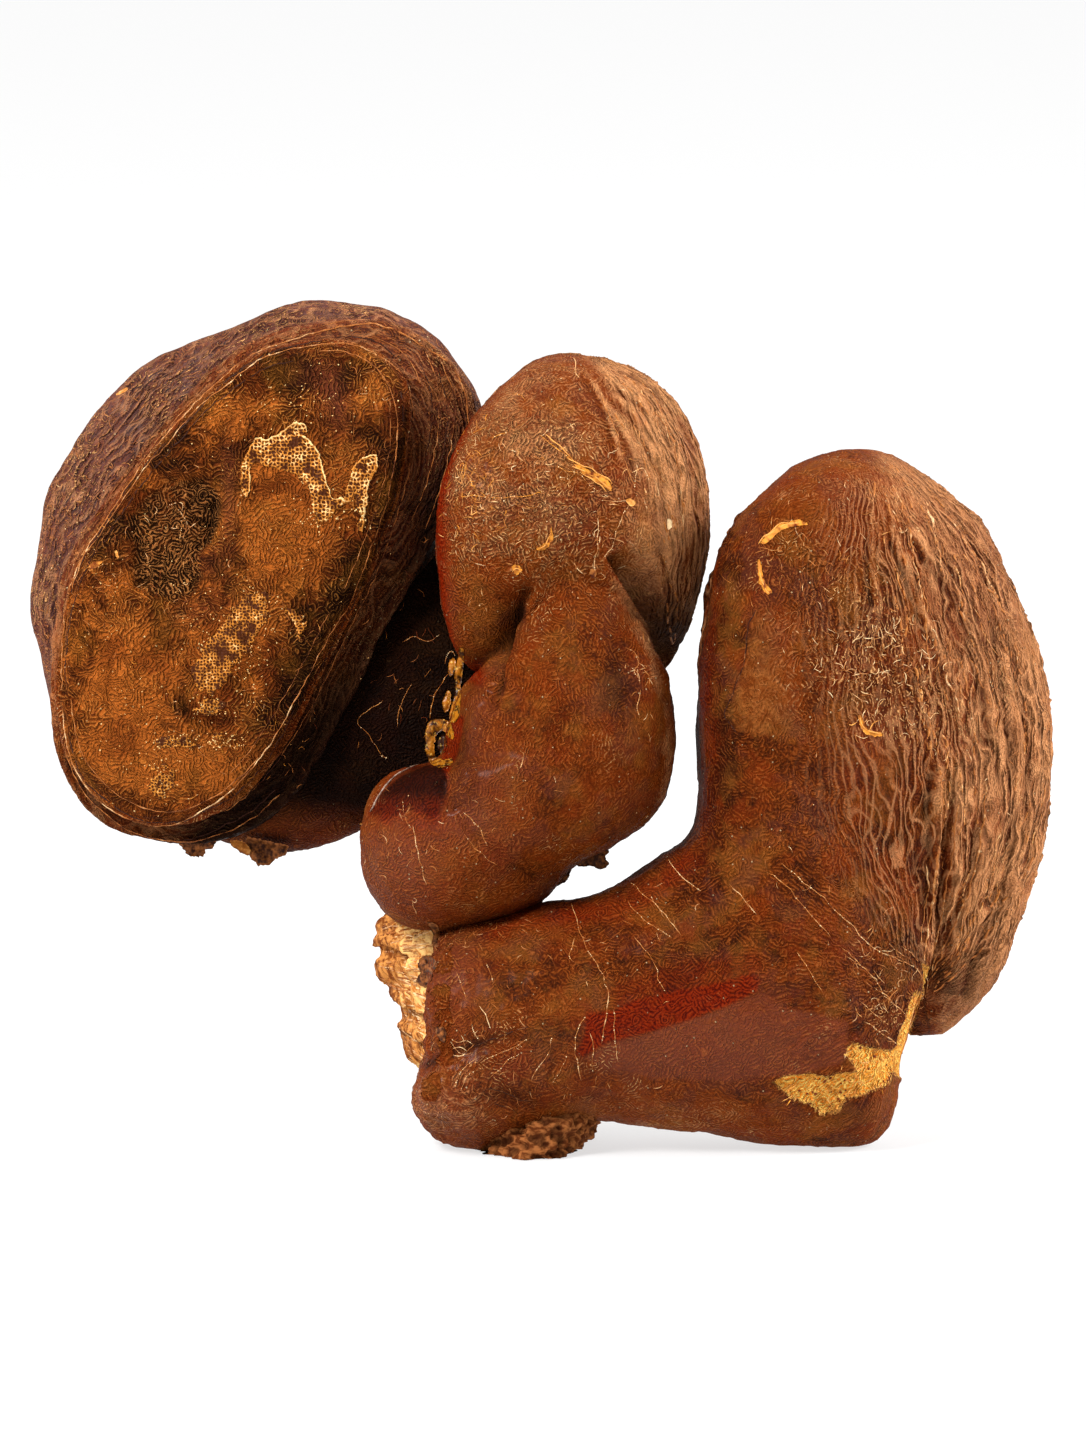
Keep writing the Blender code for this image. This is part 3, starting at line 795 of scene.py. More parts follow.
    # torn spots: bright fibrous flesh
    tear = g.attr("torn")
    ragged = g.math("ADD", tear, g.mul(g.math("SUBTRACT", grain, 0.5), 8.0))
    open_ = g.step(ragged, -0.5, 0.8)
    lip = g.mul(g.step(ragged, -1.6, -0.2), g.step(ragged, 1.8, 0.5))
    flesh = g.mix(g.step(worms, 0.1, 0.7), srgb(244, 136, 32), srgb(255, 200, 98))
    flesh = g.mix(g.step(cloud, 0.02, 0.12, 0.0, 0.8), flesh, srgb(244, 158, 54))
    flesh = g.mix(g.step(cloud, -0.07, -0.15, 0.0, 0.7), flesh, srgb(186, 98, 20))
    colour = g.mix(open_, colour, flesh)
    colour = g.mix(g.mul(lip, 0.3), colour, srgb(242, 174, 92))
    height = g.lerp(open_, height, g.math("MULTIPLY_ADD", worms, 0.9, -0.9))
    rough = g.math("ADD", rough, g.mul(open_, 0.3))

    colour = g.mix(g.math("MULTIPLY", g.attr("shade"), 1.0, clamp=True), colour, g.mix(0.93, colour, srgb(9, 3, 1)))
    g.put(g.bsdf.inputs["Base Color"], colour)
    g.put(g.bsdf.inputs["Roughness"], g.math("MAXIMUM", rough, 0.12))
    g.bsdf.inputs["Specular IOR Level"].default_value = 0.04
    g.put(g.bsdf.inputs["Coat Weight"], g.mul(g.attr("gloss"), 0.25))
    g.bsdf.inputs["Coat Roughness"].default_value = 0.22
    bump = g.t.nodes.new("ShaderNodeBump")
    bump.inputs["Strength"].default_value = 1.0
    bump.inputs["Distance"].default_value = 4.0 * GRID
    g.put(bump.inputs["Height"], height)
    g.put(g.bsdf.inputs["Normal"], bump.outputs[0])
    return g.mat


def flesh_material(name):
    """Pale torn flesh.  Marks: bark (how brown), dent (painted shade in creases)."""
    g = Graph(name)
    turn = g.t.nodes.new("ShaderNodeVectorRotate")
    turn.rotation_type = "Y_AXIS"
    turn.inputs["Angle"].default_value = 0.64
    g.put(turn.inputs["Vector"], g.warped(24, 7))
    fibre = g.noise(5.5, 3, 0.6, at=g.vec("MULTIPLY", turn.outputs[0], (1.0, 1.0, 0.25)))
    mid = g.noise(22, 3, 0.6)
    pale = g.mix(g.step(fibre, 0.35, 0.6), srgb(200, 118, 46), srgb(250, 200, 124))
    tan = g.mix(g.step(fibre, 0.38, 0.6), srgb(118, 60, 22), srgb(212, 140, 70))
    bark = g.math("ADD", g.attr("bark"), g.mul(g.math("SUBTRACT", mid, 0.5), 1.3))
    colour = g.mix(g.step(bark, 0.15, 0.5), pale, tan)
    strips = g.noise(5.5, 2, 0.6, at=g.vec("MULTIPLY", g.warped(20, 9), (0.35, 1.0, 1.0)))
    brown = g.mix(g.step(strips, 0.38, 0.62), srgb(92, 44, 16), srgb(160, 96, 50))
    colour = g.mix(g.step(bark, 0.75, 1.0), colour, brown)
    # painted shade: the flesh darkened in creases by the dent mark
    colour = g.mix(g.math("MULTIPLY", g.attr("crease_shade"), 0.85, clamp=True), colour, g.mix(g.step(bark, 0.7, 1.0), srgb(96, 46, 14), srgb(48, 18, 4)))
    g.put(g.bsdf.inputs["Base Color"], colour)
    g.bsdf.inputs["Roughness"].default_value = 0.8
    g.bsdf.inputs["Specular IOR Level"].default_value = 0.05
    bump = g.t.nodes.new("ShaderNodeBump")
    bump.inputs["Strength"].default_value = 0.8
    bump.inputs["Distance"].default_value = 2.0 * GRID
    g.put(bump.inputs["Height"], g.add(fibre, g.mul(g.noise(2.5, 2), 0.4)))
    g.put(g.bsdf.inputs["Normal"], bump.outputs[0])
    return g.mat


# ---- where a point lies on a cap drawn in level sections ----------------------
def ring_place(p, rows):
    """The angle round a level-section lobe (0 at its right edge, pi/2 at the
    front) and the radius there against the drawn one."""
    rows = np.asarray(rows, float)
    x0, x1, dm, fr, bk, gain = (np.interp(p[:, 1], rows[:, 0], rows[:, k]) for k in range(1, 7))
    half = np.maximum((x1 - x0) / 2, 1.0)
    along = (p[:, 0] - (x0 + x1) / 2) / half
    off = -(p[:, 2] - dm - gain * along)
    across = np.where(off > 0, off / np.maximum(fr, 1), off / np.maximum(bk, 1))
    return np.arctan2(across, along), np.hypot(along, across)


def common(s, lumps=2.4, rough=0.55):
    """The unevenness every crust shares."""
    return (
        lumps * fbm(s.p, 75, 2, seed=3)
        + lumps * 0.45 * fbm(s.p, 30, 2, seed=5)
        + rough * fbm(s.p, 11, 2, seed=9)
        + 1.5 * rough * (ridged(s.p / 19.0 + 0.15 * fbm(s.p, 40, 1, seed=13)[:, None], 15) ** 2 - 0.3)
    )


def stroke(s, line, width, height, taper=True, closed=False, power=2.0):
    """The height of a drawn ridge (or crease, if negative) on the front."""
    d, along = near(s.p, line, width * 3, closed)
    out = height * np.exp(-((np.minimum(d, 1e3) / width) ** power)) * s.front()
    if taper and not closed:
        out *= smooth(0, 0.12, along) * smooth(1, 0.88, along)
    return out


def side_of(p, line, reach):
    """Signed distance on the sheet to a drawn line, positive on the side with
    the larger x when the line is drawn downward, and how far along it that is."""
    line = catmull(np.asarray(line, float), 6)
    d, along = near(p, line, reach, steps=1)
    k = np.clip((along * (len(line) - 1)).astype(int), 0, len(line) - 2)
    a, b = line[k], line[k + 1]
    cross = (b[:, 0] - a[:, 0]) * (p[:, 1] - a[:, 1]) - (b[:, 1] - a[:, 1]) * (p[:, 0] - a[:, 0])
    return np.minimum(d, 1e3) * np.where(cross < 0, 1.0, -1.0), along


def overlap(s, line, up, down, reach=22, edge=1.6):
    """One lip of skin over another: raised on the negative side of the line,
    sunk on its positive side, falling off with distance."""
    d, along = side_of(s.p, line, reach * 2.5)
    fade = smooth(0, 0.15, along) * smooth(1, 0.85, along) * s.front()
    left = np.exp(-((np.abs(d) / reach) ** 2))
    t = smooth(-edge, edge, d)
    return fade * left * (up * (1 - t) - down * t)


def arcs(p, rows, top, bottom, a):
    """A coordinate that is the same all along a growth line.  The lines are
    arcs from a top pole to a bottom pole; it is 0 on the chord between them, 1
    at the right outline and goes on past 1 over the back."""
    rows = np.asarray(rows, float)
    top, bottom = np.array(top, float), np.array(bottom, float)
    c = np.linalg.norm(bottom - top) / 2
    t = (bottom - top) / (2 * c)
    n = np.array([t[1], -t[0]])
    mid = (top + bottom) / 2

    def bulge(x, y):
        u = (x - mid[0]) * t[0] + (y - mid[1]) * t[1]
        v = (x - mid[0]) * n[0] + (y - mid[1]) * n[1]
        w = np.where(np.abs(v) < 0.5, 0.5, v)
        k = (u * u + w * w - c * c) / (2 * np.abs(w))
        return np.sign(w) * (k + np.sqrt(k * k + c * c))

    y = np.clip(p[:, 1], rows[0, 0] + 3, rows[-1, 0] - 3)
    edge = np.interp(y, rows[:, 0], rows[:, 2])
    h, he = bulge(p[:, 0], p[:, 1]), np.maximum(bulge(edge, y), 20.0)
    r = np.arcsin(np.clip(h / he, -1, 1)) / (math.pi / 2)
    return np.where(a > 0, r, 2 - r)


def folds(s, rows, trough=0.6):
    """Drawn folds, each a crest with a furrow along its left side (the lines
    run downward).  Gives the relief, the crests and the furrows, 0 to 1."""
    relief, crests, furrows = (np.zeros(len(s.p)) for _ in range(3))
    front = s.front(-0.35, 0.05)
    for width, height, line in rows:
        d, along = side_of(s.p, line, width * 5)
        ends = smooth(0, 0.18, along) * smooth(1, 0.82, along) * front
        crest = ends * np.exp(-((d / width) ** 2))
        furrow = ends * np.exp(-(((d + 1.9 * width) / (1.1 * width)) ** 2))
        relief += height * (crest - trough * furrow)
        crests = np.maximum(crests, crest)
        furrows = np.maximum(furrows, furrow)
    return relief, crests, furrows


def unit(v):
    return v / np.maximum(np.linalg.norm(v, axis=1), 1e-9)[:, None]


def poles(p, top, bottom):
    """The direction of the growth lines, circles through two poles."""
    out = np.zeros((len(p), 3))
    for (x, y), sign in ((top, 1.0), (bottom, -1.0)):
        dx, dy = p[:, 0] - x, p[:, 1] - y
        r2 = np.maximum(dx * dx + dy * dy, 4.0)
        out[:, 0] += sign * dx / r2
        out[:, 1] += sign * dy / r2
    return unit(out)


def torn_marks(s, polygons, lines):
    """How far inside a torn spot each point lies, at least -20."""
    out = np.full(len(s.p), -20.0)
    for poly in polygons:
        out = np.maximum(out, inside(s.p, poly))
    for line, width in lines:
        d, _ = near(s.p, line, 30)
        out = np.maximum(out, width - np.minimum(d, 40))
    return np.where(s.n[:, 2] < 0.15, out, -20.0)


def slow(s, p):
    """Slow noises that the materials share."""
    for name in ("calm", "ridge", "flow", "worn", "bright"):
        s.marks.setdefault(name, np.zeros(len(p)))
    s.marks["mid"] = fbm(p, 26, 3, seed=401, gain=0.6)
    s.marks["patch"] = fbm(p, 52, 2, seed=411, gain=0.6)


# ---- right fruiting body -----------------------------------------------------
TORN_PATCH = [
    (771, 1080), (782, 1074), (806, 1071), (829, 1075), (835, 1071), (856, 1070), (850, 1060),
    (843, 1052), (846, 1044), (850, 1040), (868, 1046), (891, 1050), (893, 1069), (888, 1082),
    (865, 1091), (845, 1096), (838, 1106), (835, 1110), (819, 1112), (808, 1101), (790, 1096), (780, 1087),
]
WORN = [
    (752, 612), (775, 605), (800, 612), (798, 650), (800, 700), (790, 730), (760, 735),
    (735, 730), (725, 712), (733, 690), (742, 665), (745, 640),
]
RIGHT_FOLDS = [
    (4.6, 4.2, [(955, 499), (982, 545), (998, 595), (1017, 645), (1032, 691), (1036, 730), (1038, 776), (1034, 815), (1025, 853), (1012, 890)]),
    (4.6, 4.4, [(928, 507), (955, 557), (982, 591), (1001, 622), (1009, 668), (1013, 707), (1017, 738), (1021, 776), (1021, 815), (1013, 865), (1005, 911), (994, 941), (975, 984)]),
    (3.8, 3.6, [(905, 499), (921, 545), (951, 584), (967, 615), (975, 645), (986, 691), (990, 722), (998, 748), (1005, 771)]),
    (3.6, 3.0, [(882, 507), (898, 545), (917, 599), (936, 645), (955, 691), (966, 720)]),
    (3.2, 2.4, [(867, 478), (871, 538), (871, 584), (878, 610)]),
    (3.4, 2.6, [(940, 540), (962, 580), (985, 625), (996, 672), (1001, 715)]),
    (5.0, 4.6, [(940, 740), (936, 807), (938, 853), (936, 892), (928, 930), (925, 968)]),
    (4.6, 4.0, [(955, 760), (959, 799), (955, 838), (957, 865), (949, 907), (934, 945)]),
    (4.6, 4.4, [(998, 790), (982, 838), (975, 884), (959, 925), (932, 962)]),
    (4.2, 4.6, [(1024, 840), (1005, 895), (985, 914), (967, 930), (936, 961)]),
    (4.4, 4.2, [(1012, 880), (994, 926), (982, 968), (969, 1010)]),
    (4.0, 3.0, [(1045, 700), (1048, 760), (1045, 820), (1032, 880)]),
]


def right_body():
    s = Skin("right_fruiting_body", [loft(stem_rings(RIGHT_STEM)), loft(level_rings(RIGHT_CAP))], 3.5)
    s.relax(6)
    s.relax(14, smooth(110, 60, np.abs(s.p[:, 0] - 905 + (s.p[:, 1] - 950) * 0.2)) * 0.9 + 0.1)
    p = s.p.copy()
    a, _ = ring_place(p, RIGHT_CAP)
    cap = smooth(-40, 40, (p[:, 0] - 790) * 0.88 - (p[:, 1] - 800) * 0.5)  # 1 on the cap side
    high = smooth(640, 520, p[:, 1])
    cap = np.maximum(cap, high)
    low = smooth(1000, 930, p[:, 1] - 0.25 * (p[:, 0] - 925))
    place = arcs(p, RIGHT_CAP, (858, 440), (926, 992), a)
    ridge_zone = smooth(-0.35, 0.3, place) * cap * (0.25 + 0.75 * low)
    ridge_zone *= smooth(35, 130, np.hypot(p[:, 0] - 858, p[:, 1] - 440))
    u = place * 235
    warp = fbm(p, 46, 2, seed=31)
    q = np.stack([u + warp * 15 + 5 * fbm(p, 21, 2, seed=33), p[:, 1] * 0.19, np.zeros(len(p))], 1)
    fine = ridged(q / 9.0, 21) ** 1.4
    broad = ridged(q / 25.0, 23) ** 1.2
    h = common(s)
    h += ridge_zone * (1.9 * (fine - 0.4) + (1.3 + 2.2 * (1 - s.front())) * (broad - 0.4))
    relief, crests, furrows = folds(s, RIGHT_FOLDS)
    near_top = (0.8 + 0.5 * fbm(p, 34, 2, seed=35)) * (1 - 0.8 * blob(p, 866, 470, 40, 80))
    relief, crests, furrows = (v * near_top for v in (relief, crests, furrows))
    h += relief

    # wrinkles that run together into the crease at the right
    dx, dy = p[:, 0] - 940, p[:, 1] - 985
    r, th = np.hypot(dx, dy), np.arctan2(dy, dx)
    fan = smooth(230, 120, r) * smooth(12, 50, r) * smooth(940, 905, p[:, 0]) * s.front()
    qf = np.stack([th * 34 + fbm(p, 40, 2, seed=41) * 1.5, r / 60, np.zeros(len(r))], 1)
    fan_r = ridged(qf / 2.2, 43)
    h += fan * 1.5 * (fan_r - 0.45)

    # the crease between the stem's edge and the cap's lower lobe
    h += overlap(s, [(942, 812), (938, 850), (934, 905), (929, 945), (924, 985), (913, 1020), (903, 1052)], 4, 9, 16)
    h -= 6 * blob(p, 941, 976, 12, 15) * s.front()
    notch = [(416, 1066), (432, 1061), (446, 1052), (468, 1044), (492, 1037), (516, 1029), (546, 1018)]
    h += stroke(s, notch, 12, -7, taper=False) * smooth(550, 470, p[:, 0])
    h += (9.5 * blob(p, 452, 1094, 42, 30, 18) + 3.5 * blob(p, 458, 985, 34, 50)) * s.front(-0.5, 0.1)
    h -= 4.5 * blob(p, 508, 1095, 34, 13, 12) * s.front()
    ring = np.hypot(p[:, 0] - 467, p[:, 1] - 1076)
    arch = np.cos(ring / 1.6) * blob(p, 464, 1080, 32, 26) * s.front()
    h += 0.9 * arch
    h += 5.0 * blob(p, 424, 1100, 22, 24) - 4.0 * blob(p, 424, 1140, 20, 22) + 3.0 * blob(p, 440, 1000, 20, 40)
    end = smooth(470, 440, p[:, 0])
    h += end * (3.5 * fbm(p, 16, 3, seed=45) + 2.0 * (ridged(p / 12.0, 47) - 0.5))
    h += stroke(s, [(446, 1058), (452, 1030), (450, 1000)], 8, -2.5)
    h += stroke(s, [(470, 1060), (474, 1035), (472, 1010)], 8, -2)
    h += stroke(s, [(500, 940), (560, 925), (640, 912), (690, 880)], 10, -2)
    h += stroke(s, [(540, 906), (600, 897), (640, 880), (680, 845)], 4, 2.0)
    h += stroke(s, [(735, 700), (728, 715), (732, 690), (742, 660), (748, 635)], 4, -1.5)
    h -= 1.4 * smooth(-3, 3, inside(p, WORN)) * s.front()
    torn = torn_marks(
        s,
        [
            TORN_PATCH,
            [(914, 992), (906, 1005), (904, 1020), (899, 1032), (897, 1045), (890, 1052), (892, 1066), (897, 1075), (901, 1078), (904, 1062), (910, 1050), (912, 1035), (918, 1020), (920, 1005), (918, 992)],
            [(917, 962), (924, 966), (925, 984), (921, 992), (919, 980)],
        ],
        [
            ([(897, 1040), (905, 1015), (912, 992)], 1.0),
        ],
    )
    h -= 3.0 * smooth(-1, 3, torn) - 1.6 * np.exp(-((torn + 1.8) / 1.6) ** 2)
    s.push(h)

    crease_shade = s.hollows(3)
    m = s.marks
    # painted shade: dark in hollows, furrows, the crease pocket, the notch and the lower lobe's dark band
    m["crease_shade"] = np.clip(crease_shade * 1.5 + 0.45 * furrows + 0.7 * blob(p, 943, 976, 14, 14) * s.front(), 0, 1)
    m["crease_shade"] = np.clip(m["crease_shade"] + 0.7 * stroke(s, notch, 4.5, 1.0) * smooth(540, 470, p[:, 0]) + 0.5 * blob(p, 508, 1095, 32, 10, 12) * s.front(), 0, 1)
    crest = np.clip(ridge_zone * (0.7 * fine + 0.5 * broad - 0.6), -0.5, 1)
    # painted highlight on ridge, fold and fan crests and on the lower lobe's knob; painted shade in furrows
    m["crest"] = crest + 0.4 * fan * (fan_r - 0.5) + 1.3 * crests - 0.7 * furrows + 0.35 * arch + 0.6 * blob(p, 468, 1075, 7, 6)
    right_side = np.where(a > -0.4, smooth(1.6, 0.7, a), 0.75) * cap
    tan = 0.02 + 0.62 * right_side + 0.32 * blob(p, 850, 490, 110, 50) * s.front() + 0.12 * smooth(480, 440, p[:, 0])
    tan += 0.34 * smooth(-4, 5, inside(p, WORN)) - 0.15 * blob(p, 640, 960, 120, 30)
    # painted shade down the cap's left edge beside the middle body; a darker maroon patch
    tan -= 0.30 * blob(p, 712, 700, 20, 190) + 0.12 * blob(p, 885, 790, 50, 80)
    tan += 0.36 * right_side * smooth(870, 930, p[:, 0]) + 0.2 * blob(p, 1020, 730, 34, 130) + 0.25 * blob(p, 965, 930, 50, 60) - 0.25 * blob(p, 905, 960, 18, 50)
    # lighter along the bottom edge (painted light bounced up from the floor) and on the stem end's lobes
    tan += 0.35 * blob(p, 640, 1110, 240, 26, 3) + 0.42 * blob(p, 450, 1100, 42, 34) + 0.14 * blob(p, 455, 985, 40, 50)
    # darker on the back; painted shade down the left edge and in the lower lobe's dark band
    m["tan"] = tan - 0.2 * (1 - s.front(-0.6, 0.0)) - 0.24 * blob(p, 712, 660, 42, 170) - 0.2 * blob(p, 510, 1095, 34, 14)
    m["flow"] = u + 8 * warp
    m["worn"] = smooth(-2, 3, inside(p, WORN)) * smooth(792, 758, p[:, 0] - 0.2 * (p[:, 1] - 660)) * s.front()
    wide = smooth(-0.6, 0.15, place) * cap * (0.25 + 0.75 * low) * smooth(14, 70, np.hypot(p[:, 0] - 858, p[:, 1] - 440))
    m["ridge"] = np.clip(np.maximum(ridge_zone * 1.15, 0.75 * wide), 0, 1) * (1 - 0.5 * blob(p, 868, 655, 50, 60))
    m["ridge"] = m["ridge"] * (0.4 + 0.6 * s.front(-0.6, 0.0))
    m["red"] = np.clip(
        1.0 * smooth(-1, 3, inside(p, [(574, 1052), (583, 1032), (585, 1009), (613, 1007), (636, 997), (675, 988), (721, 979), (750, 970), (760, 978), (755, 990), (721, 1007), (684, 1020), (652, 1030), (606, 1041), (583, 1055)]))
        + 0.45 * smooth(-14, 8, inside(p, [(606, 990), (680, 962), (752, 952), (762, 968), (700, 985), (620, 1004)]))
        + 0.55 * blob(p, 704, 690, 12, 190) + 0.15 * blob(p, 875, 770, 40, 60)
        + 0.6 * stroke(s, [(470, 935), (560, 915), (640, 900), (700, 845)], 12, 1.0),
        0, 1,
    ) * s.front()
    # mauve: the floor's painted reflection on the glossy lower stem, and purple-brown patches with painted sheen on the
    # cap and the stem end
    m["mauve_and_sheen"] = np.clip(
        smooth(-2, 4, inside(p, [(583, 1055), (606, 1041), (640, 1032), (663, 1024), (709, 1009), (760, 988), (790, 1005), (847, 1018), (846, 1050), (840, 1062), (800, 1072), (730, 1080), (650, 1076), (600, 1066)]))
        + 0.8 * blob(p, 452, 980, 28, 52) + 0.6 * blob(p, 440, 1105, 30, 34) + 0.45 * smooth(1.0, 0.3, np.abs(a - 0.5)) * cap
        + 0.5 * blob(p, 950, 640, 45, 110, -12) + 0.75 * blob(p, 880, 735, 50, 34, -20) + 0.5 * blob(p, 990, 560, 40, 60, -30),
        0, 1,
    ) * s.front(-0.2, 0.2)
    m["scrib"] = (
        -0.2 + 0.75 * blob(p, 868, 655, 60, 70) + 0.35 * blob(p, 810, 560, 60, 45) + 0.45 * blob(p, 925, 720, 40, 60)
        + 0.35 * blob(p, 490, 1080, 80, 50) + 0.3 * blob(p, 480, 930, 60, 26) + 0.15 * right_side
        + 0.35 * blob(p, 890, 1000, 40, 50)
    )
    m["mauve_and_sheen"] = m["mauve_and_sheen"] + 0.6 * blob(p, 448, 968, 36, 36)
    m["gloss"] = np.clip(m["red"] * 0.2 + 0.3 * smooth(0, 1, m["mauve_and_sheen"]) * blob(p, 720, 1040, 180, 60) + 0.3 * blob(p, 650, 1040, 200, 60) + 0.4 * blob(p, 450, 1098, 40, 40), 0, 1) * (1 - 0.8 * m["red"])
    m["calm"] = np.clip(0.85 * blob(p, 700, 1028, 170, 50) + 0.35 * blob(p, 745, 730, 50, 140) + 0.2 * blob(p, 885, 790, 40, 70) + 0.25 * smooth(820, 700, p[:, 0]) * smooth(880, 840, p[:, 1]) + 0.6 * m["red"], 0, 1)
    m["torn"] = torn
    m["shade"] = np.clip(
        0.45 * blob(p, 960, 985, 40, 40) + 0.5 * stroke(s, [(540, 903), (600, 893), (640, 876), (690, 835)], 7, 1.0) + 0.25 * blob(p, 700, 700, 12, 200), 0, 1
    )
    m["comb"] = np.clip(ridge_zone * 1.1 + 0.8 * fan + 0.35, 0, 1)
    w = cap[:, None]
    stem_way = np.stack([p[:, 0] - 945, p[:, 1] - 985, 0 * p[:, 0]], 1)
    s.along = w * poles(p, (858, 430), (926, 1000)) + (1 - w) * unit(stem_way)
    slow(s, p)
    return s


HOLLOW = [
    (373, 812), (378, 800), (385, 789), (395, 778), (410, 768), (428, 763), (443, 764), (445, 786), (442, 806), (436, 818), (425, 812), (412, 808), (398, 814), (386, 822),
]
MIDDLE_FOLDS = [
    (3.0, 2.6, [(612, 364), (637, 373), (656, 386), (675, 407), (691, 429), (699, 460)]),
    (3.2, 2.8, [(600, 379), (625, 392), (644, 404), (662, 420), (675, 445), (684, 476), (687, 507), (690, 535)]),
    (3.2, 3.0, [(603, 392), (628, 410), (644, 432), (656, 457), (666, 486), (672, 514), (676, 540)]),
    (3.0, 2.6, [(600, 404), (612, 416), (622, 432), (633, 455), (640, 480)]),
    (2.8, 1.0, [(581, 370), (597, 392), (609, 420), (616, 446), (621, 468)]),
    (3.0, 2.4, [(690, 450), (700, 480), (703, 514), (701, 545), (696, 575)]),
    (3.2, 2.0, [(655, 540), (668, 560), (676, 590), (676, 620)]),
]


def middle_body():
    s = Skin("middle_fruiting_body", [loft(stem_rings(MIDDLE_STEM)), loft(level_rings(MIDDLE_CAP))], 2.62)
    s.relax(8)
    p = s.p.copy()
    a, _ = ring_place(p, MIDDLE_CAP)
    cap = smooth(690, 640, p[:, 1])
    place = arcs(p, MIDDLE_CAP, (585, 350), (668, 690), a)
    ridge_zone = smooth(0.05, 0.45, place) * cap * smooth(668, 610, p[:, 1])
    u = place * 150
    q = np.stack([u + fbm(p, 50, 2, seed=131) * 9, p[:, 1] * 0.12, np.zeros(len(p))], 1)
    fine = ridged(q / 8.0, 121) ** 1.4
    broad = ridged(q / 21.0, 123) ** 1.2
    h = common(s, 2.0, 0.5)
    h += ridge_zone * (1.0 * (fine - 0.4) + (1.0 + 2.0 * (1 - s.front())) * (broad - 0.4))
    relief, crests, furrows = (0.6 * v for v in folds(s, MIDDLE_FOLDS))
    h += relief
    # the neck: creases where the stem runs up into the cap
    h += overlap(s, [(496, 716), (500, 694), (508, 668), (516, 640), (522, 620), (528, 604), (538, 588)], 4.5, 16, 15, 2.0)
    h += overlap(s, [(604, 556), (614, 572), (626, 591), (638, 611), (649, 635), (657, 656), (664, 680), (670, 698)], 6, 22, 22, 1.6)
    h += 4.0 * blob(p, 470, 622, 26, 40) * s.front()
    h -= 5.0 * blob(p, 501, 686, 7, 20, 10) * s.front()
    h += stroke(s, [(462, 676), (474, 682), (488, 690), (500, 698)], 6, -3.5)
    h -= 4.0 * blob(p, 615, 682, 17, 44, 8) * s.front()
    h += stroke(s, [(632, 620), (642, 650), (648, 690), (652, 740)], 9, 3.4)
    h += stroke(s, [(462, 716), (458, 735), (452, 755), (446, 772)], 5, -2.4)
    h += stroke(s, [(471, 690), (474, 725), (468, 770), (460, 805)], 8, 2.6)
    h += stroke(s, [(540, 720), (556, 740), (553, 768)], 3, -1.6) + stroke(s, [(596, 768), (590, 782), (598, 792)], 3, -1.6)
    h += stroke(s, [(505, 865), (520, 869), (530, 875), (540, 880)], 3.2, -2.6)
    h += stroke(s, [(466, 830), (480, 848), (495, 860), (515, 868)], 6, 2.0)
    h += stroke(s, [(462, 800), (480, 840), (510, 862), (545, 880)], 10, -2.0)
    h += stroke(s, [(445, 772), (448, 792), (458, 812)], 8, -4.5)
    h -= 2.5 * smooth(-8, 10, inside(p, HOLLOW)) * s.front(-0.3, 0.1)
    # the rough, hyphae-covered field on the cap's front
    field = np.clip(blob(p, 530, 500, 110, 85, 10) * 1.5, 0, 1) * s.front()
    h += field * (0.9 * fbm(p, 9, 2, seed=77) + 0.7 * ridged(p / 13.0, 79))
    s.push(h)

    m = s.marks
    creases = stroke(s, [(526, 606), (520, 626), (513, 650), (506, 674), (499, 700)], 3.5, 1.0) + 1.3 * blob(p, 501, 688, 6, 15, 10) * s.front()
    # painted shade: dark in hollows, furrows and the neck's crease
    m["crease_shade"] = np.clip(s.hollows(3) * 1.5 + 0.4 * furrows + 0.6 * creases, 0, 1)
    # painted highlight on ridge and fold crests, painted shade in furrows
    m["crest"] = np.clip(ridge_zone * (0.7 * fine + 0.5 * broad - 0.6), -0.5, 1) + 1.1 * crests - 0.6 * furrows
    soft = smooth(745, 600, p[:, 1] + 24 * fbm(p, 42, 2, seed=141))  # the cap's colour fades into the stem's
    right_side = np.where(a > -0.4, smooth(1.45, 0.7, a), 0.7) * np.where(s.n[:, 2] > -0.2, soft, cap)
    top = smooth(470, 370, p[:, 1])
    tan = 0.12 + 0.75 * right_side + 0.3 * top + 0.34 * field
    # painted light: a lit band down the stem's right edge
    tan += 0.55 * stroke(s, [(620, 585), (640, 625), (653, 662), (664, 705), (671, 760), (664, 800)], 10, 1.0, taper=False)
    # darker beside the neck's right edge (painted shade), on the left lobe and at the neck
    tan -= 0.35 * blob(p, 615, 685, 15, 45) + 0.12 * blob(p, 475, 600, 40, 30) + 0.15 * blob(p, 570, 640, 40, 40)
    tan += 0.2 * blob(p, 520, 450, 80, 70) + 0.15 * blob(p, 660, 480, 40, 80)
    m["tan"] = tan
    m["flow"] = u + 5 * fbm(p, 50, 2, seed=131)
    m["ridge"] = np.clip(ridge_zone * 1.15, 0, 1)
    m["ridge"] = m["ridge"] * (0.4 + 0.6 * s.front(-0.6, 0.0))
    strip = near(p, [(462, 420), (446, 465), (439, 510), (437, 560), (441, 610), (449, 645), (462, 668), (474, 673)], 34)[0]
    strip = np.exp(-((np.minimum(strip, 90) / 9.0) ** 2))
    m["red"] = np.clip(
        1.3 * strip
        + smooth(-3, 4, inside(p, [(453, 716), (466, 715), (462, 735), (456, 755), (449, 770), (443, 782), (441, 760), (446, 735)]))
        + 0.95 * smooth(-8, 6, inside(p, HOLLOW) + 5 * fbm(p, 12, 2, seed=153)) + 0.5 * blob(p, 425, 822, 22, 10) + 0.3 * blob(p, 560, 905, 80, 14, -12),
        0, 1,
    )
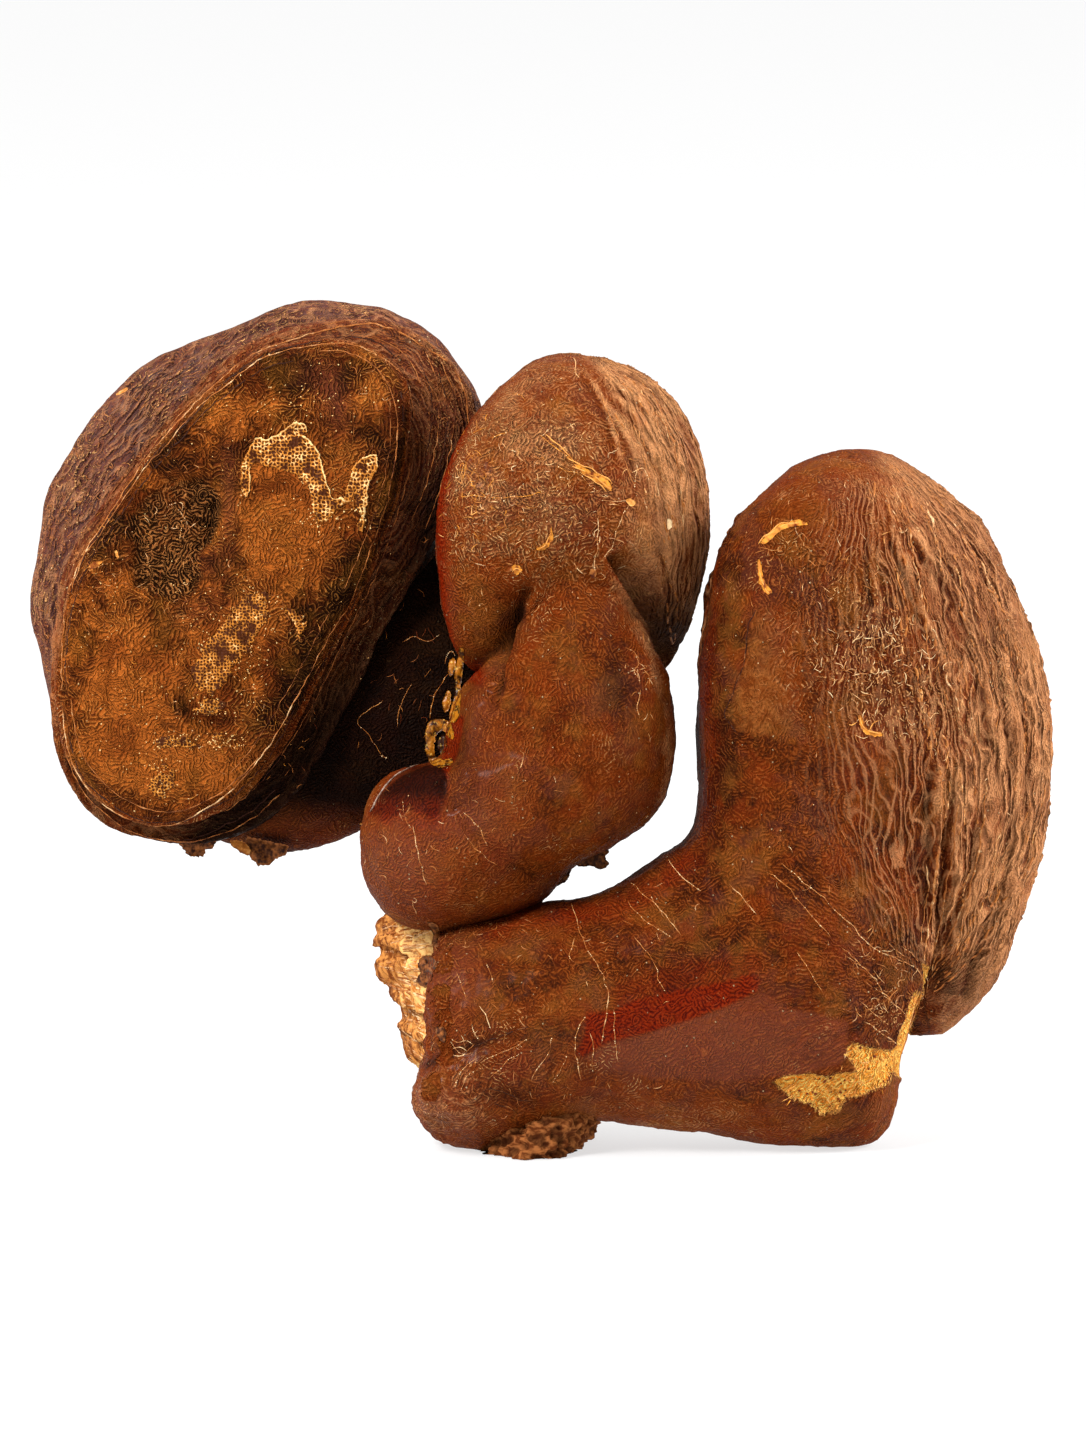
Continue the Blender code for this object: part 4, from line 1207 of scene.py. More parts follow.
    # mauve: painted sheen down the stem's left side, on the foot and on the cap's left rim, over their own purple-brown
    m["mauve_and_sheen"] = np.clip(
        0.7 * blob(p, 473, 735, 13, 60, 8) + 0.4 * blob(p, 500, 780, 30, 50) + 0.8 * blob(p, 470, 820, 34, 22)
        + 1.0 * blob(p, 404, 855, 44, 50) + 0.5 * blob(p, 470, 460, 20, 70) + 0.8 * blob(p, 450, 615, 8, 50, -6),
        0, 1,
    ) * s.front(-0.2, 0.2)
    m["scrib"] = -0.15 + 0.5 * field + 0.1 * top + 0.1 * right_side + 0.2 * blob(p, 560, 730, 50, 40)
    m["calm"] = 0.4 * smooth(640, 720, p[:, 1]) * smooth(860, 800, p[:, 1])
    hollow = smooth(-4, 1.5, inside(p, HOLLOW) + 2.5 * fbm(p, 12, 2, seed=151)) * s.front(-0.6, 0)
    hollow = hollow * (0.62 + 0.38 * smooth(806, 788, p[:, 1])) * smooth(826, 808, p[:, 1])
    m["tan"] = m["tan"] - 0.2 * (1 - s.front(-0.6, 0.0)) - 0.25 * blob(p, 462, 765, 18, 50) + 0.1 * blob(p, 490, 865, 70, 40)
    m["bright"] = np.clip(0.95 * strip * s.front(-0.5, 0.2) + 0.2 * smooth(-1, 4, inside(p, [(453, 716), (466, 715), (462, 735), (456, 755), (449, 770), (443, 782), (441, 760), (446, 735)])), 0, 1)
    m["gloss"] = np.clip(m["red"] * 0.3 + 0.7 * strip + m["mauve_and_sheen"] * 0.45, 0, 1) * (1 - hollow)
    m["torn"] = np.full(len(p), -20.0)
    m["shade"] = np.clip(
        0.85 * blob(p, 676, 640, 24, 45, -25) + 0.95 * hollow + 0.3 * blob(p, 466, 740, 12, 60, 6)
        + 0.35 * blob(p, 615, 685, 13, 40), 0, 1
    )
    stem = smooth(640, 720, p[:, 1])
    m["comb"] = np.clip(ridge_zone * 1.1 + 0.55 * stem, 0, 1)
    w = cap[:, None] * smooth(700, 640, p[:, 1])[:, None]
    bend = smooth(740, 860, p[:, 1])
    stem_way = np.stack([-0.15 - 0.9 * bend, 1 - 0.3 * bend, 0 * bend], 1)
    s.along = w * poles(p, (585, 345), (668, 700)) + (1 - w) * unit(stem_way)
    slow(s, p)
    return s


def left_cap():
    s = Skin("left_cap_body", [loft(cap_rings(LEFT_CAP))], 2.85)
    s.relax(3)
    p = s.p.copy()
    dx, dy = p[:, 0] - CAP_CENTRE[0], CAP_CENTRE[1] - p[:, 1]
    ang, r = np.arctan2(dy, dx), np.hypot(dx, dy)
    in_pore = radius(PORE_EDGE, ang) - r
    in_second = radius(SECOND_RIM, ang) - r
    in_outer = radius(OUTER_RIM, ang) - r
    front = s.front(0.0, 0.25)
    h = 2.6 * fbm(p, 80, 2, seed=203) + 1.0 * fbm(p, 28, 2, seed=205) + 0.45 * fbm(p, 11, 2, seed=209)

    # rim lines
    def rim(dist, width, height):
        return height * np.exp(-((dist / width) ** 2)) * front

    wob = 2.0 * fbm(p, 26, 2, seed=211)
    upper = smooth(640, 560, p[:, 1] + (p[:, 0] - 240) * 0.3)
    lower = smooth(690, 760, p[:, 1])
    h += rim(in_pore + wob * 0.5, 2.3, 4.6)
    h += rim(in_second + wob * 0.5, 2.3, 4.8)
    h += rim(in_second + wob * 0.6 + 8, 4.5, -4.0) * smooth(-50, -20, p[:, 0] - 360)
    h += rim(in_pore + wob - 12, 2.6, 2.6) * upper + rim(in_pore + wob - 6, 2.2, 2.0) * upper
    h += rim(in_pore + wob * 0.7 - 7, 2.5, 2.4) * lower + rim(in_pore + wob * 0.7 - 15, 2.8, 1.8) * lower
    h += rim(in_pore + wob * 0.7 + 7, 2.4, 1.8) * lower
    groove = smooth(0, -6, in_pore) * smooth(0, 6, in_second) * front
    h -= 2.4 * groove
    # streaks that follow the rim on the flank
    flank = smooth(2, -4, in_pore) * smooth(-3, 4, in_outer)
    q = np.stack([in_second * 1.0 + wob * 3, ang * 60 * 0.35, np.zeros(len(r))], 1)
    streak = ridged(q / 7.5, 221)
    h += flank * front * 1.8 * (streak - 0.45)

    # the pore face: lumps, a deep spongy pit, a fleshy column beside it
    face = smooth(0, 10, in_pore) * front
    h += face * (3.8 * fbm(p, 55, 2, seed=231) + 1.9 * fbm(p, 19, 2, seed=233) + 0.9 * fbm(p, 8, 2, seed=235))
    hole = inside(p, [(150, 492), (165, 480), (188, 474), (210, 478), (220, 492), (223, 515), (220, 534), (211, 547), (200, 558), (206, 574), (198, 592), (174, 603), (150, 601), (134, 588), (130, 566), (134, 545), (128, 525), (136, 506)])
    hole = hole + 3.0 * fbm(p, 14, 2, seed=239)
    pit = smooth(-3, 9, hole) * face
    h -= pit * (5.5 + 9 * blob(p, 208, 520, 20, 44) + 3 * blob(p, 165, 580, 30, 20) + 3 * fbm(p, 13, 2, seed=241) + 3.5 * ridged(p / 9.0, 243))
    h += stroke(s, [(224, 440), (234, 470), (233, 512), (224, 540), (210, 560), (204, 580)], 10, 6.0) * face
    h += stroke(s, [(232, 438), (250, 428), (275, 414), (290, 402)], 7, 3.0) * face
    h += stroke(s, [(150, 470), (165, 462), (190, 462), (210, 468)], 8, 2.5) * face
    h += stroke(s, [(116, 505), (112, 540), (110, 575), (118, 600)], 9, 3.0) * face
    h += stroke(s, [(225, 560), (214, 600), (196, 640)], 14, 2.5) * face
    h -= face * (2.4 * blob(p, 300, 690, 26, 60, 30) + 3.0 * blob(p, 245, 745, 60, 14, -12))
    h += face * (3.5 * blob(p, 285, 520, 42, 46) + 3.0 * blob(p, 120, 690, 45, 60) + 3.0 * blob(p, 180, 755, 50, 26))
    h += stroke(s, [(175, 690), (190, 712), (215, 722), (245, 722), (262, 735)], 4, -3.0) * face
    h += stroke(s, [(96, 640), (110, 660), (112, 690), (104, 715)], 4, -2.5) * face
    # zones on the upper side, seen from behind
    back = smooth(0.0, 0.5, s.n[:, 2])
    rho = r / radius(OUTER_RIM, ang)
    zq = rho * 150 + 5 * fbm(p, 70, 2, seed=251)
    h += back * (2.2 * np.sin(zq / 7.0) * smooth(0.25, 0.6, rho) + 1.0 * ridged(np.stack([zq / 6, ang * 2, zq * 0], 1), 253))
    s.push(h)

    m = s.marks
    # painted shade: dark in hollows
    m["crease_shade"] = np.clip(s.hollows(3) * 1.5, 0, 1)
    crescent = smooth(2, -4, in_second) * smooth(0.2, -0.3, s.n[:, 2] - 0.2)
    # painted highlight and painted shade on the flank's streaks
    m["crest"] = 0.5 * flank * (streak - 0.5)
    lit_rim = np.maximum(np.exp(-((in_pore / 2.4) ** 2)), np.exp(-((in_second / 2.2) ** 2))) * front
    tan = 0.02 - 0.02 * crescent + 0.45 * lit_rim + 0.1 * flank * upper
    tan += back * (0.25 + 0.3 * np.sin(zq / 7.0))
    tan += crescent * 0.16 * np.sin(in_outer / 3.6 + 3.0 * fbm(p, 40, 2, seed=255)) + crescent * 0.5 * smooth(0.1, 0.45, fbm(p, 24, 3, seed=257))
    # lighter along the crescent's outer edge (painted sheen) and at its top left, darker in two patches
    tan += crescent * (0.3 * smooth(14, 4, in_outer) + 0.25 * blob(p, 90, 450, 60, 60) - 0.3 * blob(p, 150, 425, 90, 24, 45) - 0.3 * blob(p, 62, 590, 14, 90))
    m["tan"] = tan
    m["tan"] = m["tan"] - 0.2 * crescent - 0.3 * back
    m["red"] = np.clip(0.05 * crescent + 0.25 * back, 0, 1)
    m["mauve_and_sheen"] = np.clip(0.95 * crescent + 0.3 * flank * upper + face * (0.7 * blob(p, 335, 402, 14, 28, -20) + 0.8 * blob(p, 231, 500, 9, 56) + 0.5 * blob(p, 315, 375, 26, 16) + 0.5 * blob(p, 215, 565, 16, 18)), 0, 1)
    m["scrib"] = 0.25 + 0.1 * crescent - 0.1 * flank
    m["calm"] = np.clip(0.1 * crescent + 0.5 * blob(p, 170, 700, 90, 110) + 0.35 * blob(p, 130, 700, 40, 70) + 0.35 * blob(p, 285, 505, 30, 30) + 0.3 * blob(p, 231, 500, 12, 50), 0, 1)
    m["gloss"] = np.clip(0.1 * crescent + 0.3 * back, 0, 1)
    m["torn"] = np.full(len(p), -20.0)
    m["pore"] = np.where(s.n[:, 2] < 0.2, in_pore - 2.5, -20)
    m["pit"] = np.clip(
        pit * (0.62 + 0.5 * blob(p, 208, 515, 20, 44) + 0.35 * blob(p, 170, 575, 30, 24) + 0.35 * fbm(p, 20, 2, seed=245))
        + 0.45 * face * (blob(p, 178, 714, 12, 14) + blob(p, 120, 535, 12, 36) + blob(p, 180, 620, 20, 14)) * (0.6 + fbm(p, 12, 2, seed=247)), 0, 1
    )
    low_right = smooth(0.0, 0.62, ((p[:, 0] - 330) * 0.8 + (p[:, 1] - 560) * 0.55) / 160)
    m["shade"] = np.clip(
        1.0 * low_right * flank + 0.55 * flank * blob(p, 440, 480, 36, 90) + 0.45 * low_right * face + 0.7 * face * blob(p, 330, 672, 24, 86, 24) + 0.3 * face * blob(p, 402, 470, 14, 70, 10)
        + 0.4 * pit * blob(p, 212, 515, 12, 40) + 0.5 * flank * smooth(700, 790, p[:, 1]), 0, 1
    )
    m["comb"] = np.clip(np.maximum(flank, back) * 0.85, 0, 1)
    m["flow"] = np.where(back > 0.5, zq, in_second + 2.0 * wob)
    m["ridge"] = np.clip(0.4 * flank * front + 0.12 * crescent + 0.2 * back, 0, 1)
    slope = radius(OUTER_RIM, ang + 0.02) / radius(OUTER_RIM, ang - 0.02) - 1
    around = np.stack([-np.sin(ang), -np.cos(ang), 0 * ang], 1)
    outward = np.stack([np.cos(ang), -np.sin(ang), 0 * ang], 1)
    s.along = unit(around + outward * (slope / 0.04)[:, None])
    m["ochre"] = np.clip(
        0.30
        + 0.75 * blob(p, 282, 515, 46, 46) + 0.35 * blob(p, 290, 575, 50, 40)
        + 0.85 * blob(p, 130, 690, 48, 75) + 0.8 * blob(p, 190, 765, 80, 30) + 0.3 * blob(p, 125, 600, 26, 26)
        + 0.55 * blob(p, 335, 490, 30, 50) + 0.6 * blob(p, 220, 418, 34, 20, -35) + 0.45 * blob(p, 275, 408, 26, 14, -20)
        + 0.5 * blob(p, 368, 392, 22, 24) + 0.65 * blob(p, 235, 640, 42, 50, 35)
        - 0.75 * blob(p, 335, 640, 34, 90, 25) - 0.35 * blob(p, 178, 710, 16, 16)
        - 0.45 * blob(p, 300, 375, 60, 18) - 0.3 * blob(p, 170, 430, 30, 30) - 0.4 * blob(p, 395, 480, 16, 70, 8)
        - 0.45 * blob(p, 110, 520, 20, 40) - 0.3 * blob(p, 160, 640, 20, 30),
        -0.3, 1.2,
    )
    m["ochre"] = m["ochre"] - 0.3 * blob(p, 402, 480, 15, 80) - 0.28 * blob(p, 322, 650, 26, 80, 24) - 0.22 * blob(p, 300, 385, 50, 14)
    m["mauve_and_sheen"] = np.clip(m["mauve_and_sheen"] + face * (0.35 * blob(p, 338, 405, 13, 30) + 0.4 * blob(p, 205, 610, 30, 14, -20)), 0, 1)
    slow(s, p)
    return s


def left_stem():
    s = Skin("left_stem_body", [loft(stem_rings(LEFT_STEM))], 3.9)
    s.relax(5)
    p = s.p.copy()
    h = common(s, 2.2, 0.6)
    # a torn dent along the lower edge
    h += stroke(s, [(300, 838), (345, 818), (380, 805)], 8, -2.0)
    s.push(h)
    m = s.marks
    # painted shade: dark in hollows
    m["crease_shade"] = np.clip(s.hollows(3) * 1.5, 0, 1)
    for name in ("crest", "gloss"):
        m[name] = np.zeros(len(p))
    m["mauve_and_sheen"] = 0.8 * blob(p, 300, 820, 80, 26)
    m["tan"] = np.full(len(p), -0.3) + 0.4 * blob(p, 290, 826, 90, 24)
    m["red"] = 0.1 * blob(p, 300, 830, 60, 22)
    m["scrib"] = np.full(len(p), -0.05)
    m["torn"] = np.full(len(p), -20.0)
    m["shade"] = np.clip(0.3 + smooth(850, 785, p[:, 1] + 0.1 * (400 - p[:, 0])) * s.front(-0.6, 0.0) * 0.95, 0, 1)
    m["comb"] = np.full(len(p), 0.3)
    s.along = np.tile([1.0, 0.1, 0.0], (len(p), 1))
    slow(s, p)
    return s


def base_body():
    s = Skin("torn_base", [loft(level_rings(BASE))], 2.7)
    s.relax(2)
    p = s.p.copy()
    # layered, torn: fibres run down the piece and end raggedly
    q = np.stack([0.8 * p[:, 0] - 0.6 * p[:, 1], 0.2 * p[:, 0] + 0.27 * p[:, 1], p[:, 2]], axis=1)
    strands = ridged(q / 11.0, 301)
    h = 3.0 * fbm(p, 34, 2, seed=303) + 3.2 * (strands - 0.4) + 1.6 * fbm(q, 8, 2, seed=305)
    low = smooth(1095, 1125, p[:, 1])
    slots = ridged((p + 5.0 * fbm(p, 24, 2, seed=311)[:, None]) * np.array([0.42, 1.0, 0.6]) / 11.0, 309)
    h += low * (4.0 * fbm(p, 18, 3, seed=307, gain=0.6) + 6.0 * (slots - 0.55))
    left = smooth(452, 440, p[:, 0])
    for line in ([(372, 988), (395, 1000), (420, 1012), (446, 1022)], [(380, 1022), (402, 1032), (425, 1046), (446, 1058)], [(368, 950), (384, 946), (402, 952)]):
        d, along = side_of(p, line[::-1], 40)
        h += left * np.exp(-((np.abs(d) / 13) ** 2)) * np.where(d < 0, 4.5, -4.5) * smooth(0, 1.5, np.abs(d))
    edge = smooth(0.75, 1.0, np.abs(s.n[:, 0])) * (p[:, 0] < 470)
    h *= 1 - 0.55 * edge
    s.push(h)
    m = s.marks
    # painted shade: dark in hollows, then along the torn ledges and in the bottom's slots
    m["crease_shade"] = np.clip(s.hollows(2) * 0.9, 0, 1)
    for line in ([(372, 988), (395, 1000), (420, 1012), (446, 1022)], [(380, 1022), (402, 1032), (425, 1046), (446, 1058)]):
        d, _ = side_of(p, line[::-1], 20)
        m["crease_shade"] = np.clip(m["crease_shade"] + 0.8 * left * np.exp(-(((d - 1.5) / 2.5) ** 2)), 0, 1)
    m["crease_shade"] = np.clip(m["crease_shade"] + 0.8 * low * smooth(0.36, 0.2, slots), 0, 1)
    bark = 0.22 + 0.4 * smooth(408, 382, p[:, 0]) + 0.35 * smooth(0.55, 0.95, -s.n[:, 0]) + 0.4 * blob(p, 410, 1046, 20, 26, 20)
    bark -= 0.35 * smooth(408, 428, p[:, 0]) * s.front()
    bark += 0.8 * smooth(1088, 1110, p[:, 1]) + 0.7 * smooth(0.1, 0.7, s.n[:, 2]) + 0.5 * smooth(915, 890, p[:, 1])
    bark += 0.5 * smooth(470, 500, p[:, 0])
    m["bark"] = np.clip(bark, 0, 1.4)
    return s


# ---- loose bits laid on the skins ----------------------------------------------
class Cover:
    """The skins' fronts, looked up from the sheet."""

    def __init__(self, *skins):
        self.trees = [s.tree() for s in skins]

    def drop(self, x, y):
        best = None
        for tree in self.trees:
            hit = tree.ray_cast(Vector((x, y, -400.0)), Vector((0.0, 0.0, 1.0)))
            if hit[0] is not None and (best is None or hit[0].z < best[0].z):
                best = hit
        return best

    def lay(self, line):
        """Where the points of a drawn line meet the skins, cut wherever one
        misses or the depth jumps: rows of place and outward direction."""
        runs, run, last = [], [], None
        for x, y in line:
            hit = self.drop(x, y)
            if hit is None or (last is not None and abs(hit[0].z - last) > 8):
                runs.append(run)
                run = []
            last = None if hit is None else hit[0].z
            if hit is not None:
                n = hit[1] if hit[1].z < 0 else -hit[1]
                run.append((*hit[0], *n))
        runs.append(run)
        return [np.array(r) for r in runs if len(r) > 2]


class Bits:
    """Small shapes gathered into one mesh.  tone goes from 0 dark through tan
    to 1 cream, gold from 0 to 1 orange."""

    def __init__(self):
        self.v, self.f, self.tone, self.gold, self.n = [], [], [], [], 0

    def add(self, verts, faces, tone, gold=0.0):
        self.v.append(np.asarray(verts, float))
        self.f += [tuple(int(k) + self.n for k in face) for face in faces]
        self.tone.append(np.zeros(len(verts)) + tone)
        self.gold.append(np.zeros(len(verts)) + gold)
        self.n += len(verts)

    def finish(self, name, material, slot, marks=(), ways=()):
        w = to_world(np.vstack(self.v))
        w[:, 2] = np.maximum(w[:, 2], 0.0)
        mesh = bpy.data.meshes.new(name)
        mesh.from_pydata(w.tolist(), [], self.f)
        for mark, rows in (("tone", self.tone), ("gold", self.gold)):
            made = mesh.attributes.new(mark, "FLOAT", "POINT")
            made.data.foreach_set("value", np.concatenate(rows).astype(np.float32))
        for mark, value in marks:
            made = mesh.attributes.new(mark, "FLOAT", "POINT")
            made.data.foreach_set("value", np.full(len(w), value, np.float32))
        for mark, way in ways:
            made = mesh.attributes.new(mark, "FLOAT_VECTOR", "POINT")
            made.data.foreach_set("vector", np.tile(np.array(way, np.float32), len(w)))
        mesh.polygons.foreach_set("use_smooth", np.ones(len(mesh.polygons), bool))
        mesh.update()
        mesh.materials.append(material)
        made = bpy.data.objects.new(name, mesh)
        bpy.context.scene.collection.objects.link(made)
        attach(made, "root")
        return made


def ring_faces(count, sides):
    out = []
    for i in range(count - 1):
        for k in range(sides):
            m = (k + 1) % sides
            out.append((i * sides + k, i * sides + m, (i + 1) * sides + m, (i + 1) * sides + k))
    out.append(tuple(range(sides))[::-1])
    out.append(tuple(range((count - 1) * sides, count * sides)))
    return out


def tube(bits, c, up, r, tone, gold=0.0, sides=4, flat=0.85):
    """A closed tube along the points c, flattened across up."""
    way = np.gradient(c, axis=0)
    way /= np.maximum(np.linalg.norm(way, axis=1), 1e-9)[:, None]
    side = np.cross(way, up)
    side /= np.maximum(np.linalg.norm(side, axis=1), 1e-9)[:, None]
    top = np.cross(side, way)
    a = 2 * math.pi * (np.arange(sides) + 0.5) / sides
    ring = np.cos(a)[None, :, None] * side[:, None] + flat * np.sin(a)[None, :, None] * top[:, None]
    verts = (c[:, None] + np.asarray(r)[:, None, None] * ring).reshape(-1, 3)
    tone = np.repeat(np.zeros(len(c)) + tone, sides)
    bits.add(verts, ring_faces(len(c), sides), tone, gold)


def evenly(line, step, curve=True):
    line = np.asarray(line, float)
    if curve and len(line) > 2:
        line = catmull(line, 8)
    s = np.concatenate([[0], np.cumsum(np.hypot(*np.diff(line, axis=0).T))])
    t = np.linspace(0, s[-1], max(int(s[-1] / step), 3) + 1)
    return np.stack([np.interp(t, s, line[:, k]) for k in (0, 1)], 1), t


def strand(bits, cover, line, r, tone, seed=0, wob=0.8, step=1.8, sides=4, gold=0.0, sink=0.15, gaps=0.0, ends=3.0, vary=0.0, beads=0.0):
    """A thread lying on the skin along a line drawn on the sheet."""
    line, t = evenly(line, step)
    way = np.gradient(line, axis=0)
    way /= np.maximum(np.hypot(*way.T), 1e-9)[:, None]
    k = len(line)
    q = np.stack([t / 8.0, np.full(k, seed * 3.71), np.full(k, 0.5)], 1)
    line = line + np.stack([-way[:, 1], way[:, 0]], 1) * (wob * noise(q, 51) * 1.6)[:, None]
    for run in cover.lay(line):
        c, up = run[:, :3], run[:, 3:]
        for _ in range(2):
            for v in (c, up):
                v[1:-1] = (v[:-2] + 2 * v[1:-1] + v[2:]) / 4
        up /= np.maximum(np.linalg.norm(up, axis=1), 1e-9)[:, None]
        n = len(c)
        u = np.arange(n)
        q = np.stack([u / 3.5 + seed * 1.3, np.full(n, seed * 7.7), np.full(n, 0.3)], 1)
        jag = noise(q, 53)
        fat = r * np.minimum(1, np.minimum(u + 0.6, n - 0.4 - u) / ends) * (0.85 + 0.5 * jag)
        if gaps:
            q = np.stack([u / 6.0 + seed * 2.1, np.full(n, seed * 5.3), np.full(n, 0.7)], 1)
            sunk = smooth(gaps - 0.9, gaps - 0.5, -noise(q, 57) * 1.4 + 0.0)
            c = c - up * (sunk * r * 1.6)[:, None]
        shade = tone + 0.22 * jag
        if vary:
            q = np.stack([u / 14.0 + seed * 1.9, np.full(n, seed * 3.3), np.full(n, 0.9)], 1)
            shade = shade + vary * noise(q, 59)
        tube(bits, c + up * (r * sink), up, np.maximum(fat, 0.12), shade, gold, sides)
        if beads:
            pick = hashed(u.astype(np.int64), u.astype(np.int64) * 0 + int(seed * 17), u.astype(np.int64) * 0, 87)
            for k in range(1, n - 1):
                if (pick[k] & np.uint32(1023)) < 380:
                    size = beads * (0.55 + 0.6 * ((pick[k] >> np.uint32(10)) & np.uint32(255)) / 255.0)
                    bead_at(bits, c[k], up[k], size, 0.95, gold * 0.3)


def drift(x, y, field, length, rng, bend, step=2.2):
    """A line that follows a field of directions, wandering a little."""
    out = [(x, y)]
    turn, way = 0.0, 1.0 if rng.random() < 0.5 else -1.0
    kick = rng.normal(0, bend)
    for _ in range(int(length / step)):
        d = field(x, y)
        turn += rng.normal(0, 0.25) * bend + kick * 0.12
        turn *= 0.94
        c, s_ = math.cos(turn), math.sin(turn)
        dx, dy = d[0] * c - d[1] * s_, d[0] * s_ + d[1] * c
        x, y = x + way * dx * step, y + way * dy * step
        out.append((x, y))
    return out


def curl(x, y, angle, length, rng, step=1.7):
    """A short hypha: a c, s or hook."""
    out = [(x, y)]
    bend = rng.normal(0, 0.26)
    sway, phase = rng.uniform(0, 0.35), rng.uniform(0, 6.3)
    n = max(int(length / step), 3)
    for k in range(n):
        angle += bend + sway * math.sin(phase + 5.0 * k / n)
        x, y = x + step * math.cos(angle), y + step * math.sin(angle)
        out.append((x, y))
    return out


def bead(bits, cover, x, y, r, tone, gold=0.0):
    hit = cover.drop(x, y)
    if hit is not None:
        bead_at(bits, np.array(hit[0]), np.array(hit[1]) * (1 if hit[1].z < 0 else -1), r, tone, gold)


def bead_at(bits, p, n, r, tone, gold=0.0, high=0.8):
    """A small dome on the skin."""
    side = np.cross(n, [0.3, 1.0, 0.1])
    side /= max(np.linalg.norm(side), 1e-9)
    other = np.cross(n, side)
    verts, sides = [], 5
    for lift, wide in ((-0.4, 1.0), (0.45, 0.85)):
        for k in range(sides):
            a = 2 * math.pi * k / sides
            verts.append(p + n * (r * lift * high) + (math.cos(a) * side + math.sin(a) * other) * r * wide)
    verts.append(p + n * r * high)
    faces = [(k, (k + 1) % sides, sides + (k + 1) % sides, sides + k) for k in range(sides)]
    faces += [(sides + k, sides + (k + 1) % sides, 2 * sides) for k in range(sides)]
    faces.append(tuple(range(sides))[::-1])
    bits.add(verts, faces, tone, gold)


def scrap(bits, cover, outline, high, tone, seed, gold=0.0, depth=None, thick=2.0, ragged=1.0, mesh=2.6, tilt=(0.0, 0.0), edge_tone=0.0, spots=0.25):
    """A torn flake drawn by its outline: laid on the skin, or hung at a depth
    with a back of its own when nothing is behind it."""
    curve = closed_curve(outline, 7)
    gaps = np.hypot(*(np.roll(curve, -1, 0) - curve).T)
    curve, _ = evenly(np.vstack([curve, curve[:1]]), max(mesh * 0.6, gaps.mean() * 0.5), curve=False)
    curve = curve[:-1]
    mid = curve.mean(0)
    k = len(curve)
    q = np.stack([curve[:, 0] / 3.1, curve[:, 1] / 3.1, np.full(k, seed * 1.7)], 1)
    out = curve - mid
    out /= np.maximum(np.hypot(*out.T), 1e-9)[:, None]
    curve = curve + out * (ragged * (noise(q, 61) + 0.6 * noise(q * 2.3, 63)))[:, None]
    lo, hi = curve.min(0), curve.max(0)
    gx, gy = np.meshgrid(np.arange(lo[0], hi[0], mesh), np.arange(lo[1], hi[1], mesh))
    inner = np.stack([gx.ravel(), gy.ravel(), 0 * gx.ravel()], 1)
    if len(inner):
        inner[:, :2] += 0.3 * mesh * np.stack([noise(inner / 1.7 + 3.3, 65), noise(inner / 1.9 + 9.1, 67)], 1)
        inner = inner[inside(inner, curve) > mesh * 0.45]
    pts = [Vector(v) for v in curve] + [Vector(v[:2]) for v in inner]
    ring = [(i, (i + 1) % k) for i in range(k)]
    flat, _, faces, _, _, _ = delaunay_2d_cdt(pts, ring, [], 1, 1e-4)
    flat = np.array([tuple(v) for v in flat])
    p3 = np.column_stack([flat, np.zeros(len(flat))])
    deep = np.minimum(np.maximum(inside(p3, curve), 0), 4.0)
    lift = high * (0.55 + 0.45 * smooth(0, 2.5, deep)) + 0.5 * high * fbm(np.column_stack([flat / 1.0, np.full(len(flat), seed * 9.0)]), 7, 2, seed=69)
    z = np.empty(len(flat))
    for i, (x, y) in enumerate(flat):
        hit = cover.drop(x, y) if depth is None else None
        z[i] = (hit[0].z if hit is not None else (depth if depth is not None else np.nan))
    if depth is None:
        z = np.where(np.isnan(z), np.nanmax(z) if np.isfinite(z).any() else 0.0, z)
    z = z + (flat[:, 0] - mid[0]) * tilt[0] + (flat[:, 1] - mid[1]) * tilt[1]
    top = np.column_stack([flat, z - lift])
    back = np.column_stack([flat, z + (thick if depth is not None else 1.0) * smooth(-0.5, 2.0, deep) + 0.2])
    n = len(flat)
    edges = {}
    for f in faces:
        for i in range(len(f)):
            key = (f[i], f[(i + 1) % len(f)])
            edges[key] = edges.get((key[1], key[0]), 0) + 1
    rim = [key for key in edges if (key[1], key[0]) not in edges]
    sheet = [tuple(f) for f in faces] + [tuple(i + n for i in f)[::-1] for f in faces]
    sheet += [(a + n, b + n, b, a)[::-1] for a, b in rim]
    shade = tone + spots * fbm(np.column_stack([flat, np.full(len(flat), seed * 5.0)]), 5, 2, seed=71) + edge_tone * smooth(2.5, 0.3, deep)
    bits.add(np.vstack([top, back]), sheet, np.concatenate([shade, shade - 0.15]), gold)


